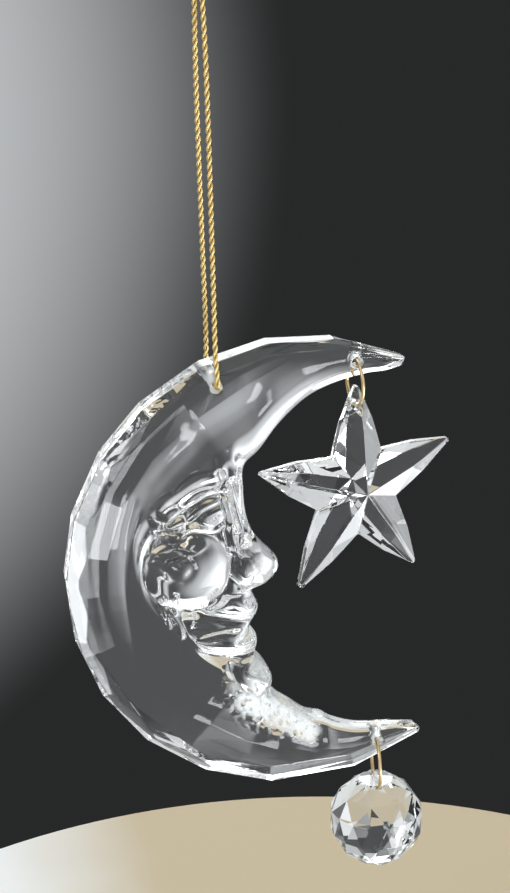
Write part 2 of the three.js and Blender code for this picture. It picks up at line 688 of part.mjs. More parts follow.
// The knot and its two cut ends, with the underside flat where the cord's runs come in
function knotGeometry() {
  const profile = [[0, 0]];
  for (let step = 1; step < KNOT_STEPS; step += 1) {
    const [outwards, up] = polar(1, -90 + 180 * step / KNOT_STEPS);
    profile.push([KNOT_RADIUS * outwards ** KNOT_FULLNESS, KNOT_HALF_HEIGHT * (1 + up)]);
  }
  profile.push([0, 2 * KNOT_HALF_HEIGHT]);
  const body = new THREE.LatheGeometry(profile.map(([x, y]) => new THREE.Vector2(x, y)), KNOT_SIDES);
  let solid = toSolid(body.rotateX(Math.PI / 2));
  for (const side of [-1, 1]) {
    const tail = new THREE.CylinderGeometry(CORD_RADIUS, CORD_RADIUS, TAIL_LENGTH, CORD_SIDES);
    tail.rotateX(Math.PI / 2);
    tail.translate(0, 0, TAIL_LENGTH / 2);
    tail.rotateY(degToRad(side * TAIL_LEAN));
    tail.translate(0, 0, KNOT_HALF_HEIGHT);
    solid = solid.add(toSolid(tail));
  }
  return toGeometry(solid);
}

function piece(name, geometry, finish) {
  const mesh = new THREE.Mesh(geometry, new THREE.MeshStandardMaterial(finish));
  mesh.name = name;
  return mesh;
}

// A ring in a hole of the moon: where its own middle is, in the moon's plane
function ringMiddle(hole, ringRadius) {
  const [right, up] = holePlace(hole);
  return [right, up + seatOffset(ringRadius, hole.radius, halfAtHole(hole)) - ringRadius];
}

function hangingStar() {
  const [right, up] = ringMiddle(STAR_HOLE, STAR_RING_RADIUS);
  const group = new THREE.Group();
  group.position.set(right, 0, up);
  const ring = piece('star_ring', ringGeometry(STAR_RING_RADIUS), BRASS_WIRE);
  ring.rotation.z = degToRad(STAR_RING_TURN);
  const star = piece('star', starGeometry(), CUT_ACRYLIC);
  const seat = seatOffset(STAR_RING_RADIUS, STAR_HOLE_RADIUS, STAR_HOLE_HALF);
  star.position.z = seat - STAR_RING_RADIUS - STAR_HOLE_UP;
  star.rotation.z = degToRad(STAR_TURN);
  return group.add(ring, star);
}

function hangingBall() {
  const [right, up] = ringMiddle(BALL_HOLE, BALL_RING_RADIUS);
  const group = new THREE.Group();
  group.position.set(right, 0, up);
  const ring = piece('ball_ring', ringGeometry(BALL_RING_RADIUS), BRASS_WIRE);
  ring.rotation.z = degToRad(BALL_RING_TURN);
  const ball = piece('faceted_ball', ballGeometry(), CUT_ACRYLIC);
  ball.position.z = BALL_RING_DEPTH - BALL_RING_RADIUS - BALL_TOP;
  return group.add(ring, ball);
}

// Everything that hangs on the cord, placed so that the cord's hole is under the origin
function hangingMoon() {
  const [right, up] = holePlace(CORD_HOLE);
  const group = new THREE.Group();
  group.position.set(-right, 0, -CORD_DROP - up);
  return group.add(piece('moon', moonGeometry(), ACRYLIC), hangingStar(), hangingBall());
}

const ornament = new THREE.Group();
const knot = piece('cord_knot', knotGeometry(), GOLD_THREAD);
ornament.add(hangingMoon(), piece('cord', cordGeometry(), GOLD_THREAD), knot);

export default ornament;
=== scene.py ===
"""The looks of the clear acrylic moon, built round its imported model.

Sizes are in millimetres in the classes, and each mesh is made in metres, in the model's
frame: +X to the right, +Y to the back, +Z up, from where the cord's loop hangs.
"""

import logging
import math
from contextlib import contextmanager
from dataclasses import dataclass, field
from enum import Enum
from itertools import pairwise
from typing import Any, Callable, Iterator, Sequence

import bmesh
import bpy
import numpy as np
from mathutils import Matrix, Vector


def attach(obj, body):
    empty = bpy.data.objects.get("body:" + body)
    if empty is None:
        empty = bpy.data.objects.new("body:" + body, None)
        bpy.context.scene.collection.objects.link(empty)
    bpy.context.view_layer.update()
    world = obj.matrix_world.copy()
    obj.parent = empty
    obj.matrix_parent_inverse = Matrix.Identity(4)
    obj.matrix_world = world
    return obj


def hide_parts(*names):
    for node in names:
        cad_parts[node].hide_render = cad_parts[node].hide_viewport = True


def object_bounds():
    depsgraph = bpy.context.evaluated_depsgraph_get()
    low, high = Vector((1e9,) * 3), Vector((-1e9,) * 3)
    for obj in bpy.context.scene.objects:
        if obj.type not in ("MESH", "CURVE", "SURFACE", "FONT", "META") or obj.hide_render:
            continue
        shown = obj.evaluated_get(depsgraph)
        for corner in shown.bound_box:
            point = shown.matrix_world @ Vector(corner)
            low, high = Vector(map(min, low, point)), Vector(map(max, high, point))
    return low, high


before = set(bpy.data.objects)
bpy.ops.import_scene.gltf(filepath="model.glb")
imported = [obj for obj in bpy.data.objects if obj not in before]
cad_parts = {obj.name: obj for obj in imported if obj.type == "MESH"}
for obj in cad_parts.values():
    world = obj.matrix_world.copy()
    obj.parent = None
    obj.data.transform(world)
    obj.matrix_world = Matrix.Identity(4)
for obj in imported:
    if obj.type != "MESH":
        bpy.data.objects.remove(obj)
cad_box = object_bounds()

MM = 0.001
THREAD_MAP = "thread"
BEVEL_SEGMENTS = 2
LEAST_BEVEL_ANGLE = 4.0  # in degrees, where a bevel goes by angle
DRILL_SIDES = 48
PAST_FACE = 1  # in millimetres, how far a drill goes on past its countersinks
NO_GAP = 1e-9  # in metres, merges only points that share one place
ANGLE_SLACK = 1e-6  # in degrees, for comparing angles
IMAGE_WIDTH = 510
IMAGE_HEIGHT = 893

log = logging.getLogger("ornament")

Array = np.ndarray


# Shader expressions


class Tree:
    """A material's or the world's nodes, each made and linked in one call."""

    def __init__(self, owner: bpy.types.ID) -> None:
        """Empties the owner's node tree.

        Args:
            owner: the material or world whose nodes are made.
        """
        owner.use_nodes = True
        self.nodes = owner.node_tree.nodes
        self.links = owner.node_tree.links
        self.nodes.clear()

    def node(self, kind: str, settings: dict[str, Any] | None = None, **sockets: Any) -> bpy.types.Node:
        """Makes one node.

        Args:
            kind: the node's type name.
            settings: the node's own settings, set before its sockets.
            sockets: values, numbers or links by socket name, with underscores for spaces,
                or by place as socket_0 and so on.

        Returns:
            The new node.
        """
        made = self.nodes.new(kind)
        for name, setting in (settings or {}).items():
            setattr(made, name, setting)
        for name, value in sockets.items():
            by_place = name.startswith("socket_")
            socket = made.inputs[int(name.removeprefix("socket_")) if by_place else name.replace("_", " ")]
            source = value.socket if isinstance(value, Value) else value
            if isinstance(source, bpy.types.NodeSocket):
                self.links.new(source, socket)
            else:
                socket.default_value = source
        return made

    def value(self, kind: str, output: str | int = 0, settings: dict[str, Any] | None = None,
              **sockets: Any) -> "Value":
        """Makes one node and wraps one of its outputs as a Value."""
        return Value(self, self.node(kind, settings, **sockets).outputs[output])

    def measure(self, operation: str, first: Any, second: Any) -> "Value":
        """A distance or a dot product of two vectors, from one Vector Math node."""
        return self.value("ShaderNodeVectorMath", "Value", {"operation": operation}, socket_0=first,
                          socket_1=second)

    def vector(self, operation: str, first: Any, **second: Any) -> bpy.types.NodeSocket:
        """A vector from one Vector Math node, whose second input is named as for node."""
        made = self.node("ShaderNodeVectorMath", {"operation": operation}, socket_0=first, **second)
        return made.outputs["Vector"]

    def place(self, output: str = "Object") -> bpy.types.NodeSocket:
        """The surface's place in its object's own frame, or another texture coordinate."""
        return self.node("ShaderNodeTexCoord").outputs[output]

    def axes(self, place: bpy.types.NodeSocket) -> tuple["Value", ...]:
        """A vector's parts along X, Y and Z."""
        parts = self.node("ShaderNodeSeparateXYZ", Vector=place)
        return tuple(Value(self, parts.outputs[axis]) for axis in "XYZ")

    def blend(self, share: "Value", first: Sequence[float], second: Sequence[float]) -> bpy.types.NodeSocket:
        """A colour at a share of the way from the first to the second."""
        mix = self.node("ShaderNodeMix", {"data_type": "RGBA"}, Factor=share, socket_6=(*first, 1.0),
                        socket_7=(*second, 1.0))
        return mix.outputs[2]

    def bump(self, height: "Value", distance: float, strength: float = 1.0) -> bpy.types.NodeSocket:
        """The normal that a height gives, at a distance in metres and a strength."""
        return self.node("ShaderNodeBump", Strength=strength, Distance=distance, Height=height).outputs[0]

    def principled(self, colour: Any, **sockets: Any) -> bpy.types.NodeSocket:
        """A Principled shader with a base colour, given as a link or as red, green and blue."""
        base = (*colour, 1.0) if isinstance(colour, tuple) else colour
        return self.node("ShaderNodeBsdfPrincipled", Base_Color=base, **sockets).outputs[0]

    def finish(self, shader: bpy.types.NodeSocket, kind: str = "ShaderNodeOutputMaterial") -> None:
        """Feeds the shader to the tree's output."""
        self.node(kind, Surface=shader)


@dataclass
class Value:
    """A number in a shader, on which Python's operators make Math nodes."""

    tree: Tree
    socket: bpy.types.NodeSocket

    def math(self, operation: str, *others: Any, clamp: bool = False) -> "Value":
        """One Math node on this value and others.

        Args:
            operation: the Math node's operation.
            others: the further inputs.
            clamp: whether the result is held between 0 and 1.

        Returns:
            The node's result.
        """
        inputs = {f"socket_{place}": value for place, value in enumerate((self, *others))}
        return self.tree.value("ShaderNodeMath", 0, {"operation": operation, "use_clamp": clamp}, **inputs)

    def __add__(self, other: Any) -> "Value":
        """This plus other."""
        return self.math("ADD", other)

    def __sub__(self, other: Any) -> "Value":
        """This minus other."""
        return self.math("SUBTRACT", other)

    def __rsub__(self, other: float) -> "Value":
        """A number minus this."""
        return self.tree.value("ShaderNodeMath", 0, {"operation": "SUBTRACT"}, socket_0=other, socket_1=self)

    def __mul__(self, other: Any) -> "Value":
        """This times other."""
        return self.math("MULTIPLY", other)

    def __truediv__(self, other: Any) -> "Value":
        """This over other."""
        return self.math("DIVIDE", other)

    def ramp(self, low: float, high: float, to_low: float = 0.0, to_high: float = 1.0,
             ends: str = "LINEAR") -> "Value":
        """This value mapped from one range to another and held inside it.

        Args:
            low: the value that gives to_low.
            high: the value that gives to_high.
            to_low: the result at low.
            to_high: the result at high.
            ends: LINEAR, or SMOOTHSTEP for soft ends.

        Returns:
            The mapped value.
        """
        return self.tree.value("ShaderNodeMapRange", 0, {"clamp": True, "interpolation_type": ends},
                               Value=self, From_Min=low, From_Max=high, To_Min=to_low, To_Max=to_high)


@dataclass(frozen=True)
class Noise:
    """A noise texture: its scale per metre, its detail and its distortion."""

    scale: float
    detail: float
    distortion: float = 0.0

    def over(self, tree: Tree, place: bpy.types.NodeSocket) -> Value:
        """The noise at each place, from nought to one."""
        return tree.value("ShaderNodeTexNoise", Vector=place, Scale=self.scale, Detail=self.detail,
                          Distortion=self.distortion)


# Finishes


class Slot(Enum):
    """The material slots that the pieces' finishes belong to."""

    CLEAR_ACRYLIC = "clear_acrylic"
    CUT_ACRYLIC = "cut_acrylic"
    BRASS_WIRE = "brass_wire"
    GOLD_THREAD = "gold_thread"


def new_material(name: str) -> tuple[bpy.types.Material, Tree]:
    """A material and its empty node tree."""
    material = bpy.data.materials.new(name)
    return material, Tree(material)


@dataclass(frozen=True)
class Acrylic:
    """Clear moulded acrylic with faint flow lines, handling marks and a fine haze.

    Attributes:
        name: the material's name.
        colour: what one pass through the surface lets through.
        haze: the roughness of the clean and of the handled surface.
        ripple: the height of the moulding's slow ripple, in metres.
        refraction: the index of refraction.
        handling: the broad patches where hands touched it, and handled the levels they show at.
        marks: the fine marks inside those patches, and marked the levels they show at.
        flow: the moulding's slow ripple.
        drilled: the holes whose walls the drill left rough, each as right, up and radius.
        drilled_haze: the roughness of those walls.
        unpolished: the two ends of a strip that the polishing didn't reach.
        unpolished_reach: the strip's half width, in metres.
        unpolished_core: the share of it inside which the strip is at its strongest.
        unpolished_haze: the roughness of the strip's grain.
        grain: the strip's grain.
        hazy_grain: the grain's levels between which it turns rough.
        white_grain: the grain's levels between which it turns white.
        frost: the colour of the white grain.
        frost_haze: the roughness of the white grain.
        frosting: how far the white grain covers the acrylic.
        sparkling: the uneven rim, as its middle's right and up and the radius where it starts.
        sparkle: how much higher than the slow ripple the rim's unevenness is.
        rim_noise: the rim's fine unevenness.
        rim_fade: over how many metres that unevenness comes in.
    """

    name: str
    colour: tuple[float, float, float] = (0.985, 0.992, 0.995)
    haze: tuple[float, float] = (0.003, 0.02)
    ripple: float = 0.000004
    refraction: float = 1.49
    handling: Noise = Noise(90.0, 4.0)
    handled: tuple[float, float] = (0.5, 0.75)
    marks: Noise = Noise(900.0, 2.0)
    marked: tuple[float, float] = (0.35, 0.75)
    flow: Noise = Noise(160.0, 2.0, 0.6)
    drilled: tuple[tuple[float, float, float], ...] = ()
    drilled_haze: float = 0.42
    unpolished: tuple[tuple[float, float, float], ...] = ()
    unpolished_reach: float = 0.0029
    unpolished_core: float = 0.4
    unpolished_haze: float = 0.25
    grain: Noise = Noise(700.0, 3.0)
    hazy_grain: tuple[float, float] = (0.44, 0.56)
    white_grain: tuple[float, float] = (0.3, 0.5)
    frost: tuple[float, float, float] = (0.93, 0.95, 0.95)
    frost_haze: float = 0.6
    frosting: float = 0.85
    sparkling: tuple[float, ...] = ()
    sparkle: float = 14.0
    rim_noise: Noise = Noise(420.0, 2.0)
    rim_fade: float = 0.0004

    def material(self) -> bpy.types.Material:
        """Makes the material."""
        material, tree = new_material(self.name)
        point = tree.place()
        flat = tree.vector("MULTIPLY", point, socket_1=(1.0, 0.0, 1.0))
        handled = self.handling.over(tree, point).ramp(*self.handled)
        marked = self.marks.over(tree, point).ramp(*self.marked)
        haze = (handled * marked).ramp(0.0, 1.0, *self.haze)
        flow = self.flow.over(tree, point)
        if self.sparkling:
            flow = flow + self.in_rim(tree, point) * self.sparkle
        for right, up, radius in self.drilled:
            on_wall = tree.measure("DISTANCE", flat, (right, 0.0, up)).math("LESS_THAN", radius)
            haze = haze.math("MAXIMUM", on_wall * self.drilled_haze)
        if self.unpolished:
            reach = self.unpolished_reach
            near = self.from_strip(tree, flat).ramp(reach, self.unpolished_core * reach)
            grain = self.grain.over(tree, point)
            haze = haze.math("MAXIMUM", near * grain.ramp(*self.hazy_grain) * self.unpolished_haze)
        shader = tree.principled(self.colour, IOR=self.refraction, Transmission_Weight=1.0, Roughness=haze,
                                 Normal=tree.bump(flow, self.ripple))
        if self.unpolished:
            white = near * grain.ramp(*self.white_grain) * self.frosting
            frost = tree.principled(self.frost, Roughness=self.frost_haze)
            mix = tree.node("ShaderNodeMixShader", socket_0=white, socket_1=shader, socket_2=frost)
            shader = mix.outputs[0]
        tree.finish(shader)
        return material

    def in_rim(self, tree: Tree, point: bpy.types.NodeSocket) -> Value:
        """The rim's fine unevenness, nought inside the radius where the rim's cuts start."""
        right, up, radius = self.sparkling
        from_middle = tree.measure("DISTANCE", point, (right, 0.0, up))
        return from_middle.ramp(radius, radius + self.rim_fade) * self.rim_noise.over(tree, point)

    def from_strip(self, tree: Tree, flat: bpy.types.NodeSocket) -> Value:
        """The distance in the front view from the unpolished strip's middle line."""
        start, end = (Vector(place) for place in self.unpolished)
        way = end - start
        offset = tree.vector("SUBTRACT", flat, socket_1=tuple(start))
        share = tree.measure("DOT_PRODUCT", offset, tuple(way / way.length_squared))
        foot = tree.vector("SCALE", tuple(way), Scale=share.ramp(0.0, 1.0))
        return tree.measure("DISTANCE", offset, foot)


@dataclass(frozen=True)
class BrassWire:
    """Lacquered brass wire, brighter where it rubs.

    Attributes:
        name: the material's name.
        bright: the colour of the rubbed metal.
        dull: the colour of the metal with its film on.
        haze: the roughness of the metal with its film on and of the rubbed metal.
        film: the film's patches, and worn the levels between which it is worn off.
        drawing: the fine marks of the wire's drawing, with their height in metres and strength.
    """

    name: str = "brass_wire"
    bright: tuple[float, float, float] = (0.86, 0.66, 0.36)
    dull: tuple[float, float, float] = (0.55, 0.38, 0.17)
    haze: tuple[float, float] = (0.38, 0.2)
    film: Noise = Noise(500.0, 3.0)
    worn: tuple[float, float] = (0.35, 0.65)
    drawing: Noise = Noise(6000.0, 1.0)
    drawing_height: float = 0.00001
    drawing_strength: float = 0.4

    def material(self) -> bpy.types.Material:
        """Makes the material."""
        material, tree = new_material(self.name)
        point = tree.place()
        worn = self.film.over(tree, point).ramp(*self.worn)
        lines = self.drawing.over(tree, point)
        tree.finish(tree.principled(
            tree.blend(worn, self.dull, self.bright), Metallic=1.0, Roughness=worn.ramp(0.0, 1.0, *self.haze),
            Normal=tree.bump(lines, self.drawing_height, self.drawing_strength),
        ))
        return material


@dataclass(frozen=True)
class GoldThread:
    """Metallic gold thread: foil-wrapped strands, with a painted shade darkening the grooves between the
    twisted strands and a painted uneven shine.

    Attributes:
        name: the material's name.
        foil: the colour on a strand's crown.
        painted_groove_shade: the painted shade colour in the groove between strands, standing in for the
            shade there.
        crown_power: the power that widens the crown, below one.
        wraps: the wrapping's waves in radians, along a turn of the cord and across a strand.
        wrap_height: how high the wrapping stands, in metres, and wrap_strength how strongly.
        glint: the noise of a painted uneven shine, and glinting its levels and the shades that they give.
        metallic: how metallic the foil is.
        haze: the roughness between the wraps and on them.
    """

    name: str = "gold_thread"
    foil: tuple[float, float, float] = (1.0, 0.78, 0.32)
    painted_groove_shade: tuple[float, float, float] = (0.26, 0.1, 0.02)
    crown_power: float = 0.8
    wraps: tuple[float, float] = (150.0, 9.0)
    wrap_height: float = 0.00003
    wrap_strength: float = 0.8
    glint: Noise = Noise(40.0, 2.0)
    glinting: tuple[float, float, float, float] = (0.35, 0.55, 0.45, 1.0)
    metallic: float = 0.9
    haze: tuple[float, float] = (0.3, 0.15)

    def material(self) -> bpy.types.Material:
        """Makes the material: u runs along the cord in turns, v once from groove to groove."""
        material, tree = new_material(self.name)
        uv = tree.node("ShaderNodeUVMap", {"uv_map": THREAD_MAP}).outputs[0]
        along, across, _ = tree.axes(uv)
        # Painted shade: each strand's crown shows the foil colour, and the groove between strands a dark
        # painted shade colour, made uneven by the painted glint.
        crown = (across * math.pi).math("SINE").math("POWER", self.crown_power)
        wrap = (along * self.wraps[0] + across * self.wraps[1]).math("SINE").ramp(-1.0, 1.0)
        glint = self.glint.over(tree, uv).ramp(*self.glinting)
        shade = crown.math("MULTIPLY", glint, clamp=True)
        tree.finish(tree.principled(
            tree.blend(shade, self.painted_groove_shade, self.foil), Metallic=self.metallic,
            Roughness=wrap.ramp(0.0, 1.0, *self.haze),
            Normal=tree.bump(wrap, self.wrap_height, self.wrap_strength),
        ))
        return material


# Meshes


def linked(name: str, mesh: bpy.types.Mesh) -> bpy.types.Object:
    """A new object for a mesh, in the scene and at the origin."""
    made = bpy.data.objects.new(name, mesh)
    bpy.context.scene.collection.objects.link(made)
    return made


def placed(points: Array, centre: Sequence[float]) -> Array:
    """Points in millimetres moved to a centre in millimetres, as metres."""
    return (np.asarray(points, float) + np.asarray(centre, float)) * MM


@contextmanager
def editing(mesh: bpy.types.Mesh) -> Iterator[bmesh.types.BMesh]:
    """Opens a mesh for bmesh's tools and writes it back."""
    work = bmesh.new()
    work.from_mesh(mesh)
    yield work
    work.to_mesh(mesh)
    work.free()


def mesh_of(name: str, points: Array, faces: Sequence[Sequence[int]], smooth: Array | bool,
            merge: float = 0.0) -> bpy.types.Mesh:
    """A mesh with its doubles merged and its faces turned outwards.

    Args:
        name: the mesh's name.
        points: one row for each vertex, in metres.
        faces: the vertex numbers of each face.
        smooth: whether faces are shaded smooth, for all or for each.
        merge: the distance in metres under which vertices become one; at nought the mesh
            stays as it is given.

    Returns:
        The mesh.
    """
    mesh = bpy.data.meshes.new(name)
    mesh.from_pydata(np.asarray(points).tolist(), [], faces)
    flags = np.broadcast_to(np.asarray(smooth, bool), len(mesh.polygons))
    mesh.polygons.foreach_set("use_smooth", flags.tolist())
    if merge:
        with editing(mesh) as work:
            bmesh.ops.remove_doubles(work, verts=work.verts, dist=merge)
            bmesh.ops.recalc_face_normals(work, faces=work.faces)
    return mesh


def grid_faces(rows: int, columns: int, wrap_rows: bool = False, wrap_columns: bool = False,
               start: int = 0) -> Array:
    """The quads of a grid whose vertex number is row times columns plus column.

    Args:
        rows: the number of rows.
        columns: the number of columns.
        wrap_rows: whether the last row joins the first.
        wrap_columns: whether the last column joins the first.
        start: the number of the grid's first vertex.

    Returns:
        One row of four vertex numbers for each quad.
    """
    row, column = np.meshgrid(np.arange(rows - (not wrap_rows)), np.arange(columns - (not wrap_columns)),
                              indexing="ij")
    next_row, next_column = (row + 1) % rows, (column + 1) % columns
    corners = [row * columns + column, next_row * columns + column,
               next_row * columns + next_column, row * columns + next_column]
    return start + np.stack(corners, -1).reshape(-1, 4)


def tube_faces(rings: int, sides: int) -> tuple[list[list[int]], Array]:
    """The faces of a tube of rings with a flat face at each end.

    Args:
        rings: the number of rings.
        sides: the number of vertices in each ring.

    Returns:
        The vertex numbers of each face, the two ends last, and which faces are smooth.
    """
    last = (rings - 1) * sides
    faces = grid_faces(rings, sides, wrap_columns=True).tolist()
    faces += [list(range(sides)), list(range(last, last + sides))]
    return faces, np.arange(len(faces)) < len(faces) - 2


def finished(obj: bpy.types.Object) -> None:
    """Applies an object's modifiers to its mesh."""
    bpy.context.view_layer.update()
    evaluated = obj.evaluated_get(bpy.context.evaluated_depsgraph_get())
    mesh = bpy.data.meshes.new_from_object(evaluated)
    mesh.name = obj.name
    obj.modifiers.clear()
    obj.data = mesh


def bevelled(obj: bpy.types.Object, width: float, by_weight: bool = False) -> None:
    """Rounds an object's sharp edges with a Bevel modifier.

    Args:
        obj: the object.
        width: the bevel's width in millimetres.
        by_weight: whether the edges' own weights choose and scale it, not their angle.
    """
    bevel = obj.modifiers.new("edges", "BEVEL")
    bevel.width = width * MM
    bevel.segments = BEVEL_SEGMENTS
    bevel.limit_method = "WEIGHT" if by_weight else "ANGLE"
    bevel.angle_limit = math.radians(LEAST_BEVEL_ANGLE)
    bevel.use_clamp_overlap = False


def cut_by(obj: bpy.types.Object, cutters: Sequence[bpy.types.Object]) -> None:
    """Cuts solids out of an object, applies its modifiers and removes the solids.

    Args:
        obj: the object, with any modifiers before the cuts.
        cutters: the solids to cut out.
    """
    for cutter in cutters:
        cut = obj.modifiers.new(cutter.name, "BOOLEAN")
        cut.operation = "DIFFERENCE"
        cut.solver = "MANIFOLD"
        cut.object = cutter
    finished(obj)
    for cutter in cutters:
        bpy.data.objects.remove(cutter)


def full_turn(steps: int) -> Array:
    """The angles of even steps round a whole turn."""
    return np.arange(steps) * 2 * np.pi / steps


def carried_round(profile: Sequence[tuple[float, float]], sides: int) -> Array:
    """A profile's points carried round an axis.

    Args:
        profile: each point's radius and place along the axis.
        sides: the number of steps round.

    Returns:
        One row for each point: two places across the axis, and the place along it.
    """
    radius, along = np.array(profile, float).T[..., None]
    turn = full_turn(sides)
    points = np.broadcast_arrays(radius * np.cos(turn), radius * np.sin(turn), along)
    return np.stack(points, -1).reshape(-1, 3)


def drill(name: str, radius: float, half: float, countersink: float,
          centre: Sequence[float]) -> bpy.types.Object:
    """The solid that a drilled hole along Y takes away, wider at either face.

    Args:
        name: the object's name.
        radius: the hole's radius in millimetres.
        half: half the thickness that it goes through.
        countersink: how deep and how much wider its ends are.
        centre: the hole's middle in millimetres.

    Returns:
        The closed solid.
    """
    past = half + 2 * countersink + PAST_FACE
    wide, inner = radius + countersink + past - half, half - countersink
    profile = [(wide, -past), (radius, -inner), (radius, inner), (wide, past)]
    points = placed(carried_round(profile, DRILL_SIDES)[:, [0, 2, 1]], centre)
    return linked(name, mesh_of(name, points, *tube_faces(len(profile), DRILL_SIDES), merge=NO_GAP))


def swung(right: Array, back: Array, up: Array, degrees: float) -> Array:
    """Points turned about the upright, as one row of right, back and up for each."""
    cosine, sine = math.cos(math.radians(degrees)), math.sin(math.radians(degrees))
    turned = np.broadcast_arrays(right * cosine - back * sine, right * sine + back * cosine, up)
    return np.stack(turned, -1).reshape(-1, 3)


def polar(radius: Any, degrees: Any) -> Array:
    """Right and up in the crescent's plane, from radius and angle."""
    angle = np.radians(degrees)
    return np.stack(np.broadcast_arrays(radius * np.cos(angle), radius * np.sin(angle)), -1)


def smoothstep(value: Array, low: float, high: float) -> Array:
    """Nought below low, one above high, and a smooth cubic between."""
    share = np.clip((value - low) / (high - low), 0, 1)
    return share * share * (3 - 2 * share)


def mixed(first: Any, second: Any, share: Any) -> Any:
    """The value at a share of the way from the first to the second."""
    return first + (second - first) * share


def through(points: Array, place: Array) -> Array:
    """The Catmull-Rom curve through points: a cubic from each point to the next.

    Args:
        points: one row for each point.
        place: the places on the curve, counted in points.

    Returns:
        One row for each place.
    """
    first = np.clip(np.floor(place).astype(int), 0, len(points) - 2)
    share = (place - first)[..., None]
    before, start, end, after = (points[np.clip(first + step, 0, len(points) - 1)] for step in (-1, 0, 1, 2))
    slope_in, slope_out = (end - before) / 2, (after - start) / 2
    cube = 2 * start - 2 * end + slope_in + slope_out
    square = 3 * end - 3 * start - 2 * slope_in - slope_out
    return ((cube * share + square) * share + slope_in) * share + start


# The crescent


@dataclass(frozen=True)
class Hole:
    """A hole drilled from front to back: its angle on the rim, depth under it and radius."""

    angle: float
    depth: float
    radius: float


@dataclass(frozen=True)
class RoundForm:
    """A round form of the face: its middle, half sizes, turn in degrees and rise."""

    x: float
    z: float
    rx: float
    rz: float
    turn: float
    rise: float


@dataclass(frozen=True)
class Fold:
    """A ridge or groove of the face: its points, half width, and rise, below zero in a groove."""

    points: tuple[tuple[float, float], ...]
    width: float
    rise: float


@dataclass(frozen=True)
class Lumps:
    """An uneven surface: cosine waves in spiralling directions, from long ones to short ones.

    Attributes:
        waves: the number of waves.
        shortest: the length of the shortest wave, and longest that of the longest.
        height: the height of the shortest wave.
        phase: what each wave's start is spread by.
    """

    waves: int
    shortest: float
    longest: float
    height: float
    phase: float = 2.4

    def rise(self, right: Array, up: Array) -> Array:
        """The sum of the waves at each place, each as high as it is long."""
        golden = math.pi * (3 - math.sqrt(5))
        total = np.zeros(np.broadcast(right, up).shape)
        for wave in range(self.waves):
            length = self.longest * (self.shortest / self.longest) ** (wave / (self.waves - 1))
            turn = golden * wave
            along = right * math.cos(turn) + up * math.sin(turn)
            total += length / self.shortest * np.cos(2 * math.pi * along / length + self.phase * wave * wave)
        return self.height * total


@dataclass(frozen=True)
class FaceBound:
    """A straight bound of the face's ground: its direction in degrees and its distance."""

    angle: float
    distance: float


